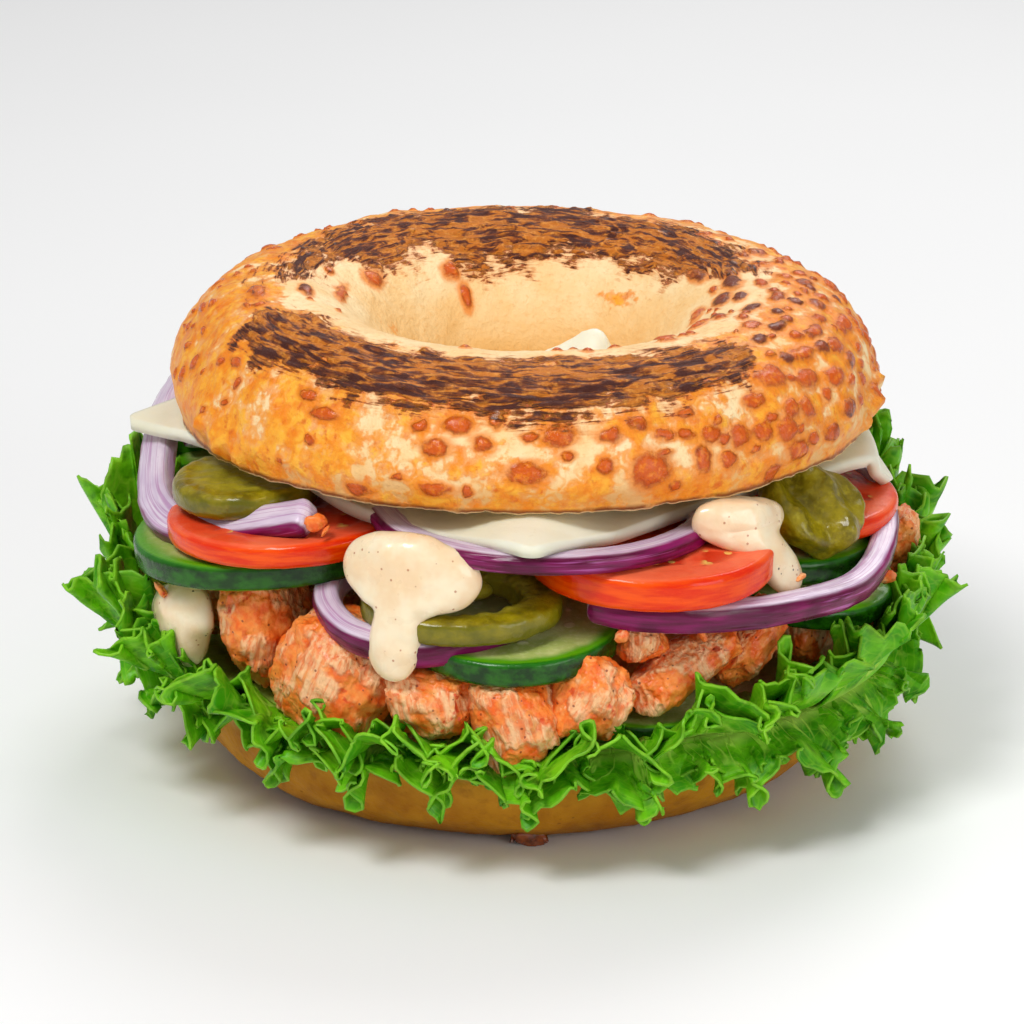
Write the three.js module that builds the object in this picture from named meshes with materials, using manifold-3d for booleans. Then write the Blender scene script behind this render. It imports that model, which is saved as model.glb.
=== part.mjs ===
// A filled cheese bagel: a sliced bagel with a toasted, cheese-crusted crown and a plain heel. Between
// the halves, from the bottom up, lie frilly lettuce, chunks of chicken, cucumber, tomato, red onion and
// pickled jalapeno, and one square slice of white cheese. Thick sauce runs down the outside.
//
// Millimetres, +Z up, and -Y is the front. Each piece is worked out from the crown's axis, and the whole is
// moved at the end. An azimuth is in degrees from +X towards +Y, so -90 is the front.
import * as THREE from "three";
import { mergeVertices } from "three/addons/utils/BufferGeometryUtils.js";
import Module from "manifold-3d";

const wasm = await Module();
wasm.setup();

// Driving dimensions
const HEEL_RADIUS = 54.4;
const HEEL_HEIGHT = 17;
const HEEL_HOLE = 15;
const HEEL_SHIFT = -1.1; // the halves do not quite line up
const CROWN_RADIUS = 56;
const CROWN_HEIGHT = 20;
const CROWN_HOLE = 19.5;
const CROWN_Z = 56; // the crown's cut face
const CHEESE_SIDE = 89;
const CHEESE_THICK = 1.9;
const LEAF_THICK = 0.9;
const GAP = 0.35; // left between pieces that touch

const rad = THREE.MathUtils.degToRad;
const at = (azimuth, radius, z) =>
  new THREE.Vector3(radius * Math.cos(rad(azimuth)), radius * Math.sin(rad(azimuth)), z);

// A smooth, repeatable unevenness between -1 and 1: three crossed waves whose phases come from a seed.
function uneven(p, seed, wavelength) {
  const k = (2 * Math.PI) / wavelength;
  return (
    (Math.sin(k * (p.x + 0.6 * p.y) + 12.99 * seed) +
      Math.sin(k * (1.2 * p.y - 0.8 * p.z) + 78.23 * seed) +
      Math.sin(k * (1.1 * p.z + 0.7 * p.x) + 37.72 * seed)) /
    3
  );
}

const smooth = (t) => {
  const c = THREE.MathUtils.clamp(t, 0, 1);
  return c * c * (3 - 2 * c);
};

// The value at an azimuth of a curve given as [azimuth, value] rows in rising order, eased between them.
function eased(rows, azimuth) {
  const last = rows.length - 1;
  if (azimuth <= rows[0][0]) return rows[0][1];
  if (azimuth >= rows[last][0]) return rows[last][1];
  const i = rows.findIndex((row) => row[0] > azimuth) - 1;
  const share = (azimuth - rows[i][0]) / (rows[i + 1][0] - rows[i][0]);
  return THREE.MathUtils.lerp(rows[i][1], rows[i + 1][1], smooth(share));
}

// The turn that leans a flat slice by so many degrees, so that its edge at the azimuth "toward" is lowest.
function leaning(lean, toward) {
  const axis = new THREE.Vector3(-Math.sin(rad(toward)), Math.cos(rad(toward)), 0);
  return new THREE.Quaternion().setFromAxisAngle(axis, rad(lean));
}

// Moves every vertex of a geometry by a function of its position.
function reshape(geometry, move) {
  const position = geometry.getAttribute("position");
  const p = new THREE.Vector3();
  for (let i = 0; i < position.count; i++) {
    p.fromBufferAttribute(position, i);
    const q = move(p);
    position.setXYZ(i, q.x, q.y, q.z);
  }
  return geometry;
}

// A closed geometry as a solid, and a solid as a geometry.
function solidOf(geometry) {
  const bare = geometry.clone();
  bare.deleteAttribute("normal");
  bare.deleteAttribute("uv");
  const merged = mergeVertices(bare, 1e-3);
  const triVerts = new Uint32Array(merged.index.array);
  const make = () =>
    new wasm.Manifold(
      new wasm.Mesh({ numProp: 3, vertProperties: merged.attributes.position.array, triVerts }),
    );
  const made = make();
  if (made.volume() > 0) return made;
  for (let i = 0; i < triVerts.length; i += 3)
    [triVerts[i + 1], triVerts[i + 2]] = [triVerts[i + 2], triVerts[i + 1]];
  return make();
}

function geometryOf(solid) {
  const mesh = solid.getMesh();
  const positions = new Float32Array(mesh.numVert * 3);
  for (let i = 0; i < mesh.numVert; i++)
    positions.set(mesh.vertProperties.subarray(i * mesh.numProp, i * mesh.numProp + 3), i * 3);
  return new THREE.BufferGeometry()
    .setAttribute("position", new THREE.BufferAttribute(positions, 3))
    .setIndex(new THREE.BufferAttribute(mesh.triVerts, 1));
}

// A body of revolution about Z from [radius, z] points, closed on itself or on the axis.
function turned(profile, segments) {
  const points = profile.map(([r, z]) => new THREE.Vector2(Math.max(r, 0), z));
  return new THREE.LatheGeometry(points, segments).rotateX(Math.PI / 2);
}

// A bagel half: the cut face is at z = 0 and the baked side rises to z = height. The inner slope is gentler
// than the outer one, and the wall draws in a little at the cut.
function bagelHalf({ outer, hole, height, outerFullness, innerFullness, steps, segments, grow }) {
  const middle = (outer + hole) / 2;
  const half = (outer - hole) / 2;
  const profile = [];
  for (let i = 0; i <= steps; i++) {
    const a = (Math.PI * i) / steps;
    const fullness = a < Math.PI / 2 ? outerFullness : innerFullness;
    const across = Math.sign(Math.cos(a)) * Math.abs(Math.cos(a)) ** (2 / fullness);
    const up = Math.max(Math.sin(a), 0) ** (2 / fullness);
    const drawnIn = a < Math.PI / 2 ? 1.4 * (1 - smooth(up / 0.25)) : 0;
    profile.push([middle + across * (half + grow) - drawnIn, up * (height + grow)]);
  }
  if (grow) {
    profile.unshift([profile[0][0], -grow]);
    profile.push([profile[profile.length - 1][0], -grow]);
  }
  profile.push(profile[0]);
  return turned(profile, segments);
}

// The crown is a little thicker on its left and at the back, its top is nearly flat where it was pressed,
// and its crust is lumpy with baked cheese.
function crown(grow) {
  const geometry = bagelHalf({
    outer: CROWN_RADIUS,
    hole: CROWN_HOLE,
    height: CROWN_HEIGHT,
    outerFullness: 2.3,
    innerFullness: 1.85,
    steps: 11,
    segments: 36,
    grow,
  });
  return reshape(geometry, (p) => {
    const up = smooth(p.z / 6);
    const thicker = 1 + (0.06 * p.y - 0.05 * p.x) / CROWN_RADIUS;
    const lump = 0.5 * up * uneven(p, 3, 17);
    const outward = 1 + (lump + 0.4 * up * uneven(p, 5, 41)) / CROWN_RADIUS;
    return new THREE.Vector3(p.x * outward, p.y * outward, CROWN_Z + p.z * thicker + 0.6 * lump);
  });
}

// The heel is turned over, so that its baked side is down. Its base is flat where it stands.
function heel(grow) {
  const geometry = bagelHalf({
    outer: HEEL_RADIUS,
    hole: HEEL_HOLE,
    height: HEEL_HEIGHT,
    outerFullness: 2.5,
    innerFullness: 2.2,
    steps: 9,
    segments: 30,
    grow,
  });
  return reshape(geometry, (p) => {
    const baked = smooth(p.z / 6);
    const outward = 1 + (0.7 * baked * uneven(p, 8, 47)) / HEEL_RADIUS;
    const z = HEEL_HEIGHT - p.z * 1.03;
    return new THREE.Vector3(p.x * outward + HEEL_SHIFT, -p.y * outward, grow ? z : Math.max(z, 0));
  });
}

// A square slice of cheese, set corner forwards. It lies flat under the crown, sags on both sides of the
// front corner, bends down past the crown's edge, most of all at the right-hand corner, which also swings
// forwards, and humps up into the hole: a peak towards the right, and a lower shoulder beside it.
const CHEESE_CENTRE = [-1, -1.4];
const CHEESE_TURN = 1.5;
const CHEESE_TOP = CROWN_Z - GAP - 0.05;
const CHEESE_ROUND = 3;
const HUMPS = [
  { x: 12.6, y: 6, height: 9, wide: 6 },
  { x: 4, y: 7, height: 6, wide: 7 },
];
function drooped(x, y, z) {
  const right = smooth((x - 34) / 24);
  const radius = Math.hypot(x, y);
  const beside = smooth(Math.abs(x) / 14) * smooth((x + 38) / 14) * smooth((-y - 8) / 14);
  const sag = 3.5 * beside * smooth((radius - 30) / 12);
  const past = Math.max(radius - 53, 0);
  const bend = rad(5 + 4 * smooth(-y / 50) + 48 * right) * smooth(past / 4);
  const share = (radius - past * (1 - Math.cos(bend))) / Math.max(radius, 1e-6);
  const lowered = sag + past * Math.sin(bend) + 2.4 * right;
  return new THREE.Vector3(x * share, y * share - 11 * right, z - lowered);
}
function cheese(grow) {
  const cells = 12;
  const side = CHEESE_SIDE + 2 * grow;
  return sheet(cells, cells, (s, t, face) => {
    let x = (s - 0.5) * side;
    let y = (t - 0.5) * side;
    const edge = side / 2 - CHEESE_ROUND;
    const ex = Math.abs(x) - edge;
    const ey = Math.abs(y) - edge;
    if (ex > 0 && ey > 0) {
      const shrink = CHEESE_ROUND / Math.max(Math.hypot(ex, ey), CHEESE_ROUND);
      x = Math.sign(x) * (edge + ex * shrink);
      y = Math.sign(y) * (edge + ey * shrink);
    }
    const turn = rad(45 + CHEESE_TURN);
    const px = CHEESE_CENTRE[0] + x * Math.cos(turn) - y * Math.sin(turn);
    const py = CHEESE_CENTRE[1] + x * Math.sin(turn) + y * Math.cos(turn);
    const inHole = 1 - smooth((Math.hypot(px, py) - 13.5) / 5);
    let top = CHEESE_TOP;
    for (const { x: hx, y: hy, height, wide } of HUMPS)
      top += height * inHole * Math.exp(-((px - hx) ** 2 + (py - hy) ** 2) / wide ** 2);
    return drooped(px, py, face > 0 ? top + grow : top - CHEESE_THICK - grow);
  });
}

// A thin sheet: its two faces are the same grid, split into triangles alike, and a wall joins their edges.
// place(s, t, face) gives the point at the shares s and t, on the upper face (1) or the lower one (-1).
function sheet(across, along, place) {
  const columns = across + 1;
  const count = columns * (along + 1);
  const positions = [];
  for (const face of [1, -1])
    for (let j = 0; j <= along; j++)
      for (let i = 0; i <= across; i++) positions.push(...place(i / across, j / along, face).toArray());
  const index = [];
  const quad = (a, b, c, d) => index.push(a, b, c, a, c, d);
  for (let j = 0; j < along; j++)
    for (let i = 0; i < across; i++) {
      const a = j * columns + i;
      quad(a, a + 1, a + 1 + columns, a + columns);
      index.push(count + a, count + a + 1 + columns, count + a + 1);
      index.push(count + a, count + a + columns, count + a + 1 + columns);
    }
  const border = [];
  for (let i = 0; i < across; i++) border.push(i);
  for (let j = 0; j < along; j++) border.push(j * columns + across);
  for (let i = across; i > 0; i--) border.push(along * columns + i);
  for (let j = along; j > 0; j--) border.push(j * columns);
  border.forEach((a, i) => {
    const b = border[(i + 1) % border.length];
    quad(a, a + count, b + count, b);
  });
  return new THREE.BufferGeometry()
    .setAttribute("position", new THREE.Float32BufferAttribute(positions, 3))
    .setIndex(index);
}

// A round slice with a rounded rim: cucumber, tomato, or the end of a jalapeno.
function slice({ centre, radius, thick, lean = 0, toward = -90, rim = 0.6, seed = 1 }) {
  return (grow) => {
    const r = radius + grow;
    const h = thick / 2 + grow;
    const profile = [
      [0, -h],
      [r - rim, -h],
      [r, -h + rim],
      [r, h - rim],
      [r - rim, h],
      [0, h],
    ];
    const geometry = reshape(turned(profile, 12), (p) => {
      const outward = 1 + 0.02 * uneven(p, seed, 31);
      return new THREE.Vector3(p.x * outward, p.y * outward, p.z);
    });
    return geometry.applyQuaternion(leaning(lean, toward)).translate(...centre);
  };
}

// A ring cut from a pickled jalapeno. Its wall is a rounded square, thicker on one side.
function ring({ centre, radius, hole, thick, lean = 0, toward = -90, crush = 1, seed = 1 }) {
  return (grow) => {
    const outer = radius + grow;
    const inner = hole - grow;
    const h = thick / 2 + grow;
    const profile = [
      [inner, -h],
      [outer - 0.8, -h],
      [outer, 0],
      [outer - 0.8, h],
      [inner, h],
      [inner, -h],
    ];
    const geometry = reshape(turned(profile, 14), (p) => {
      const outward = 1 + 0.05 * uneven(p, seed, 29);
      return new THREE.Vector3(p.x * outward, p.y * crush, p.z);
    });
    return geometry.applyQuaternion(leaning(lean, toward)).translate(...centre);
  };
}

// A stretch of an onion ring: a rounded section, "radial" thick and "tall" high, led along points.
function onion({ points, radial, tall, up = [0, 0, 1], steps = 10 }) {
  return (grow) => {
    const path = new THREE.CatmullRomCurve3(points.map((p) => new THREE.Vector3(...p)));
    const a = radial / 2 + grow;
    const b = tall / 2 + grow;
    const section = [
      [-a, -b * 0.8],
      [0, -b],
      [a, -b * 0.75],
      [a * 1.06, b * 0.6],
      [a * 0.75, b],
      [-a, b * 0.92],
    ];
    const positions = [];
    const index = [];
    const upward = new THREE.Vector3(...up).normalize();
    for (let i = 0; i <= steps; i++) {
      const t = i / steps;
      const along = path.getTangentAt(t);
      const centre = path.getPointAt(t);
      if (i === 0) centre.addScaledVector(along, -grow);
      if (i === steps) centre.addScaledVector(along, grow);
      const outward = new THREE.Vector3().crossVectors(along, upward).normalize();
      const top = new THREE.Vector3().crossVectors(outward, along);
      for (const [x, y] of section)
        positions.push(...centre.clone().addScaledVector(outward, x).addScaledVector(top, y).toArray());
    }
    const n = section.length;
    for (let i = 0; i < steps; i++)
      for (let k = 0; k < n; k++) {
        const p = i * n + k;
        const q = i * n + ((k + 1) % n);
        index.push(p, q, q + n, p, q + n, p + n);
      }
    const last = steps * n;
    for (let k = 1; k < n - 1; k++) index.push(0, k + 1, k, last, last + k, last + k + 1);
    return new THREE.BufferGeometry()
      .setAttribute("position", new THREE.Float32BufferAttribute(positions, 3))
      .setIndex(index);
  };
}

// A level arc of an onion ring as points, for the rings that lie flat.
const arc = (centre, radius, from, to, rise = 0) =>
  Array.from({ length: 7 }, (_, i) => {
    const share = i / 6;
    const a = from + (to - from) * share;
    return [
      centre[0] + radius * Math.cos(rad(a)),
      centre[1] + radius * Math.sin(rad(a)),
      centre[2] + rise * share,
    ];
  });

// A chunk of chicken: a blunt, boxy lump, torn along the grain. "half" is its half-size across the front,
// in depth and in height, and "turn" tips it sideways as seen from outside.
function chunk({ azimuth, radius, z, half, turn = 0, seed, detail = 1 }) {
  return (grow) => {
    const geometry = new THREE.IcosahedronGeometry(1, detail);
    reshape(geometry, (p) => {
      const blunt = (v) => Math.sign(v) * Math.abs(v) ** 0.72;
      const rough = 1 + 0.13 * uneven(p, seed, 2.1) + 0.05 * uneven(p, seed + 4, 0.9);
      return new THREE.Vector3(
        blunt(p.x) * (half[0] * rough + grow) * 0.92,
        blunt(p.y) * (half[1] * rough + grow) * 0.92,
        blunt(p.z) * (half[2] * rough + grow) * 0.92,
      );
    });
    geometry.rotateY(rad(turn)).rotateZ(rad(azimuth + 90));
    return geometry.translate(...at(azimuth, radius, z).toArray());
  };
}

// The chicken that fills the middle of the bagel, between the chunks that show.
function chickenCore(grow) {
  const profile = [
    [0, 20.6 - grow],
    [38 + grow, 20.6 - grow],
    [41 + grow, 24],
    [40 + grow, 30],
    [0, 31.6 + grow],
  ];
  return reshape(turned(profile, 18), (p) => {
    const lump = p.z > 28 ? 0.9 * uneven(p, 2, 19) : 0;
    return p.clone().setZ(p.z + lump);
  });
}

// Thick sauce that has run down the outside: a dome on the filling's side. "reach" gives how far it spreads
// from its centre in each direction, in equal steps of angle from the right-hand side, anticlockwise. Below
// its centre it leans outwards by the share "lean", over the fillings that stick out further down.
function sauce({ azimuth, radius, z, reach, out, back, lean = 0, segments = 16 }) {
  return (grow) => {
    const geometry = new THREE.SphereGeometry(1, segments, segments / 2).rotateX(Math.PI / 2);
    const spread = (angle) => {
      const share = ((angle / (2 * Math.PI) + 1) * reach.length) % reach.length;
      const i = Math.floor(share);
      return THREE.MathUtils.lerp(reach[i], reach[(i + 1) % reach.length], smooth(share - i)) + grow;
    };
    return reshape(geometry, (p) => {
      const reached = spread(Math.atan2(p.y, p.x));
      const across = p.x * reached;
      const up = p.y * reached;
      const dome = p.z * ((p.z > 0 ? out : back) + grow);
      const from = radius + dome - across ** 2 / (2 * radius) + lean * Math.max(-up, 0);
      return at(azimuth, from, z + up).add(at(azimuth + 90, across, 0));
    });
  };
}

// A lettuce leaf. It lies flat between the bagel's halves out to the radius "turn", and past it the leaf
// runs to an edge given as [azimuth, radius] and [azimuth, z] rows, in ruffles that grow towards the edge.
// All leaves share the waves, so that leaves on top of each other nest. "fine" is the columns to a ruffle.
const LEAF_INNER = 40;
const RUFFLES = 26;
const RUFFLE_HEIGHT = 3;
const RUFFLE_SWAY = 1.6;
const LEAF_ROWS = [0, 0.22, 0.6, 1];
function leafSurface({ from, to, level, turn = 57, radii, heights }, s, v) {
  const azimuth = THREE.MathUtils.lerp(from, to, s);
  if (v <= LEAF_ROWS[1]) {
    const flat = THREE.MathUtils.lerp(LEAF_INNER, turn, v / LEAF_ROWS[1]);
    return at(azimuth, flat, level);
  }
  const w = (v - LEAF_ROWS[1]) / (1 - LEAF_ROWS[1]);
  const run = eased(radii, azimuth) - turn;
  const rise = eased(heights, azimuth) - level;
  const angle = rad(azimuth);
  const wave = RUFFLES * angle + 0.9 * Math.sin(3 * angle) + 0.6 * Math.sin(7 * angle);
  const size = w ** 1.4;
  const steep = Math.atan2(rise, run);
  const ruffle = RUFFLE_HEIGHT * size;
  const radius = turn + run * w + ruffle * Math.abs(Math.sin(steep)) * (0.7 - Math.sin(wave));
  const z = level + rise * w ** 1.3 + ruffle * Math.cos(steep) * Math.sin(wave);
  const sway = (RUFFLE_SWAY * size * Math.sin(2 * wave)) / radius;
  return at(azimuth + THREE.MathUtils.radToDeg(sway), radius, z);
}
function leaf(plan) {
  return (grow) => {
    const columns = Math.round(((plan.to - plan.from) / 360) * RUFFLES * (plan.fine ?? 4));
    const last = LEAF_ROWS.length - 1;
    const point = (i, j) => leafSurface(plan, i / columns, LEAF_ROWS[THREE.MathUtils.clamp(j, 0, last)]);
    return sheet(columns, last, (s, t, face) => {
      const i = Math.round(s * columns);
      const j = Math.round(t * last);
      const beside = point(i + 1, j).sub(point(i - 1, j));
      const onward = point(i, j + 1).sub(point(i, j - 1));
      const normal = new THREE.Vector3().crossVectors(onward, beside).normalize();
      return point(i, j).addScaledVector(normal, face * (LEAF_THICK / 2 + grow));
    });
  };
}

// Pieces, in the order in which they keep their shape: each is cut clear of the ones before it.
const looks = {
  crust: { color: 0xd98a35, roughness: 0.6, metalness: 0 },
  dough: { color: 0xb9832f, roughness: 0.65, metalness: 0 },
  cheese: { color: 0xeeebd6, roughness: 0.4, metalness: 0 },
  sauce: { color: 0xf0d9bd, roughness: 0.3, metalness: 0 },
  spread: { color: 0xf1efe0, roughness: 0.45, metalness: 0 },
  lettuce: { color: 0x4f9a12, roughness: 0.5, metalness: 0 },
  chicken: { color: 0xd9743a, roughness: 0.55, metalness: 0 },
  cucumber: { color: 0xa9b86a, roughness: 0.4, metalness: 0 },
  tomato: { color: 0xe03a10, roughness: 0.3, metalness: 0 },
  onion: { color: 0x8a2a6e, roughness: 0.35, metalness: 0 },
  jalapeno: { color: 0x86830f, roughness: 0.35, metalness: 0 },
};

const pieces = [
  ["bagel_crown", "crust", crown],
  ["bagel_heel", "dough", heel],
  ["cheese_slice", "cheese", cheese],
];
const add = (name, look, make) => pieces.push([name, look, make]);

// Sauce over the front, the right and the left of the filling, and a run of it at the back.
add("sauce_front", "sauce", sauce({
  azimuth: -106.8,
  radius: 58.8,
  z: 46.6,
  reach: [10.6, 9.6, 7.8, 7.4, 7.2, 7.6, 9, 10.6, 10.8, 8.6, 7.4, 14.2, 14.6, 7, 6.6, 9.2],
  out: 4.2,
  back: 3,
  lean: 0.22,
}));
add("sauce_right", "sauce", sauce({
  azimuth: -54.5,
  radius: 54.6,
  z: 51.4,
  reach: [8.6, 6.2, 4.4, 3.8, 3.8, 4.4, 6, 8.2, 8, 6, 4.8, 4.4, 4.6, 12, 13, 7],
  out: 4.2,
  back: 2.6,
  lean: 0.48,
}));
add("sauce_left", "sauce", sauce({
  azimuth: -150,
  radius: 60.4,
  z: 31.4,
  reach: [7, 7.2, 7, 6, 5.6, 5.4, 5.8, 7.4, 11, 11.6, 6.4, 7.4, 8.6, 8, 6.6, 6],
  out: 4.2,
  back: 3,
  segments: 14,
}));
add("sauce_back", "sauce", sauce({
  azimuth: 110,
  radius: 57,
  z: 43,
  reach: [7, 6.2, 5.6, 5.4, 5.4, 5.8, 6.6, 7.4, 7, 6, 6.4, 9.6, 11.4, 7, 5.4, 6],
  out: 4,
  back: 2.6,
  lean: 0.1,
  segments: 12,
}));
add("spread_dab", "spread", sauce({
  azimuth: -113,
  radius: 54,
  z: 15.6,
  reach: [3.6, 2.4, 1.9, 2.4, 3.6, 2.4, 1.8, 2.4],
  out: 2.6,
  back: 1,
  segments: 10,
}));

// Cucumber, tomato, onion and jalapeno that show at the front.
add("jalapeno_left", "jalapeno", slice({
  centre: [-43, -27.5, 51.3], radius: 11.4, thick: 4.2, lean: 2, toward: -150, rim: 1.3, seed: 2,
}));
add("jalapeno_front", "jalapeno", ring({
  centre: [-9.8, -50.6, 40.6], radius: 15, hole: 8.8, thick: 4, lean: 7, toward: -88, crush: 0.74, seed: 3,
}));
add("tomato_right", "tomato", slice({
  centre: [18.8, -42, 46.2], radius: 19, thick: 5.2, lean: 3, toward: -80, rim: 0.9, seed: 4,
}));
add("onion_front", "onion", onion({
  points: arc([2.5, -34.3, 50.7], 25, -172, 6, -1.2), radial: 4.6, tall: 3.2,
}));
add("onion_right", "onion", onion({
  points: [
    [9, -53.5, 41.2],
    [17, -57, 41],
    [28, -56, 40.6],
    [40, -49, 39.6],
    [50, -38.5, 39],
    [55, -25, 41],
    [55.2, -11, 44.5],
    [50, 2, 47.4],
  ],
  radial: 4.2,
  tall: 4.4,
  up: [0.2, -0.1, 1],
}));
add("onion_left", "onion", onion({
  points: [
    [-55, 20, 54.6],
    [-57.4, 6, 52.6],
    [-58, -8, 49],
    [-57, -20, 45.6],
    [-52, -30, 45],
    [-43, -37, 48],
    [-32, -44.5, 52.2],
  ],
  radial: 5.8,
  tall: 4,
  up: [-0.6, -0.35, 0.72],
}));
add("tomato_left", "tomato", slice({
  centre: [-35.5, -28.5, 47], radius: 19.6, thick: 3.9, lean: 4, toward: -170, rim: 0.8, seed: 5,
}));
add("cucumber_left", "cucumber", slice({
  centre: [-37.6, -22.2, 42.6], radius: 23.4, thick: 4, lean: 6, toward: 178, seed: 6,
}));
add("tomato_right_low", "tomato", slice({
  centre: [41, -15, 45.6], radius: 17, thick: 3.4, lean: 5, toward: -40, rim: 0.8, seed: 7,
}));
add("cucumber_right", "cucumber", slice({
  centre: [37.5, -18.5, 41.4], radius: 17.5, thick: 4, lean: 7, toward: -40, seed: 8,
}));
add("jalapeno_right", "jalapeno", ring({
  centre: [43.4, -30.8, 49], radius: 8.8, hole: 2.2, thick: 5.4, lean: 46, toward: -62,
  crush: 0.86, seed: 6,
}));
add("onion_low", "onion", onion({
  points: [
    [-20, -32, 42.6],
    [-28.2, -39, 40.6],
    [-29.8, -46, 38.8],
    [-26, -53.4, 36.8],
    [-17.5, -57.6, 35.8],
    [-9, -57, 36.4],
    [-2.5, -53.6, 37.6],
  ],
  radial: 4.2,
  tall: 4.6,
  up: [-0.25, -0.3, 0.92],
}));
add("cucumber_front", "cucumber", slice({
  centre: [-2, -46, 35.2], radius: 16.6, thick: 4.1, lean: 6, toward: -95, seed: 9,
}));
add("cucumber_right_low", "cucumber", slice({
  centre: [42.5, -22.5, 34.8], radius: 14.5, thick: 3.6, lean: 12, toward: -40, seed: 10,
}));
add("cucumber_side_right", "cucumber", slice({
  centre: [40, 5, 37], radius: 15, thick: 3.6, lean: 4, toward: 5, seed: 18,
}));
add("cucumber_side_left", "cucumber", slice({
  centre: [-41, 5, 35.2], radius: 14.5, thick: 3.6, lean: 3, toward: 175, seed: 19,
}));
add("cucumber_under", "cucumber", slice({
  centre: [17.6, -44, 22.2], radius: 11.5, thick: 2.6, lean: 4, toward: -80, seed: 11,
}));

// The same fillings on the side that faces away.
add("tomato_back_left", "tomato", slice({
  centre: [-32, 24.5, 47.4], radius: 20, thick: 5, lean: 4, toward: 132, rim: 0.9, seed: 12,
}));
add("tomato_back_right", "tomato", slice({
  centre: [32, 20.5, 48.2], radius: 19.4, thick: 5, lean: 5, toward: 45, rim: 0.9, seed: 13,
}));
add("onion_back_right", "onion", onion({
  points: arc([24, 26, 52.8], 28, -18, 128, -1.4), radial: 4.4, tall: 3,
}));
add("onion_back_left", "onion", onion({
  points: arc([-26, 27, 43], 29, 62, 196, 0.6), radial: 4.4, tall: 3.8,
}));
add("jalapeno_back", "jalapeno", ring({
  centre: [-4, 46.5, 50.2], radius: 11.6, hole: 4.8, thick: 4, lean: 6, toward: 92, seed: 14,
}));
add("cucumber_back_left", "cucumber", slice({
  centre: [-37, 24.5, 38.8], radius: 21, thick: 3.8, lean: 4, toward: 140, seed: 15,
}));
add("cucumber_back", "cucumber", slice({
  centre: [2, 40, 44.4], radius: 19.6, thick: 4, lean: 6, toward: 88, seed: 16,
}));
add("cucumber_back_right", "cucumber", slice({
  centre: [35, 28, 41.6], radius: 20.6, thick: 4, lean: 7, toward: 36, seed: 17,
}));

// Chicken, round the rim from the left of the front to the right and on round the back.
const chicken = [
  { azimuth: -163, radius: 49, z: 29.4, half: [7, 6.6, 7], turn: -12, seed: 21 },
  { azimuth: -139, radius: 53, z: 31.4, half: [7.2, 7, 9.4], turn: 14, seed: 22 },
  { azimuth: -121.5, radius: 54.6, z: 27.8, half: [10, 7.4, 10.4], turn: 24, seed: 23, detail: 2 },
  { azimuth: -104.6, radius: 55.4, z: 26.6, half: [7.6, 6.4, 6], turn: -10, seed: 24 },
  { azimuth: -91.6, radius: 57, z: 25.4, half: [6.9, 6.2, 8.2], turn: -16, seed: 25 },
  { azimuth: -80.6, radius: 56, z: 27.6, half: [6.2, 6.2, 7.4], turn: 24, seed: 26 },
  { azimuth: -71.5, radius: 53, z: 35, half: [4, 4.4, 3.6], turn: 0, seed: 27 },
  { azimuth: -65, radius: 54.6, z: 30, half: [9.8, 4.8, 4.2], turn: -26, seed: 28 },
  { azimuth: -52, radius: 54.2, z: 31.4, half: [7.8, 4.8, 4], turn: -44, seed: 29 },
  { azimuth: -31, radius: 51, z: 27.4, half: [7, 6, 5.4], turn: 10, seed: 30 },
  { azimuth: -8, radius: 58, z: 34.8, half: [4.6, 4.6, 6.6], turn: 8, seed: 31 },
  { azimuth: 20, radius: 51.6, z: 29.6, half: [8, 6.6, 7], turn: -16, seed: 32 },
  { azimuth: 44, radius: 52, z: 28.8, half: [8.4, 6.6, 7.4], turn: 12, seed: 33 },
  { azimuth: 69, radius: 53, z: 29, half: [8.2, 6.8, 7.2], turn: -20, seed: 34 },
  { azimuth: 93, radius: 52, z: 30, half: [8, 6.6, 8], turn: 16, seed: 35 },
  { azimuth: 118, radius: 53, z: 27.6, half: [8.4, 6.8, 7], turn: -8, seed: 36 },
  { azimuth: 143, radius: 52, z: 28, half: [8.2, 6.6, 7.2], turn: 18, seed: 37 },
  { azimuth: 170, radius: 52, z: 30, half: [8, 6.6, 7.4], turn: -14, seed: 38 },
];
chicken.forEach((plan, i) => add(`chicken_${String(i + 1).padStart(2, "0")}`, "chicken", chunk(plan)));
add("chicken_core", "chicken", chickenCore);

// Lettuce: upper leaves round the rim, and two lower ones that hang over the heel.
add("lettuce_front", "lettuce", leaf({
  from: -143,
  to: -46,
  level: 19.6,
  fine: 3.5,
  radii: [[-143, 67], [-120, 66.5], [-95, 66], [-75, 66], [-55, 67], [-46, 67.5]],
  heights: [[-143, 27], [-125, 21], [-105, 22.5], [-90, 20], [-75, 23], [-60, 27], [-46, 29]],
}));
add("lettuce_right", "lettuce", leaf({
  from: -43,
  to: 47,
  level: 19.6,
  turn: 59.6,
  fine: 3,
  radii: [[-43, 65.5], [-25, 66], [-8, 64], [6, 61.8], [18, 61], [32, 61.5], [47, 64]],
  heights: [[-43, 29], [-25, 34], [-8, 35], [6, 40], [18, 45], [32, 42], [47, 30]],
}));
add("lettuce_left", "lettuce", leaf({
  from: 132,
  to: 214,
  level: 19.6,
  turn: 61,
  fine: 3,
  radii: [[132, 65], [148, 62], [162, 63.5], [172, 65], [184, 67.5], [197, 69.5], [214, 67]],
  heights: [[132, 30], [148, 47], [162, 46], [172, 43], [184, 36], [197, 34], [214, 27]],
}));
add("lettuce_back", "lettuce", leaf({
  from: 50,
  to: 129,
  level: 19.6,
  fine: 3,
  radii: [[50, 66], [90, 68], [129, 66]],
  heights: [[50, 29], [75, 25], [100, 30], [129, 27]],
}));
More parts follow.
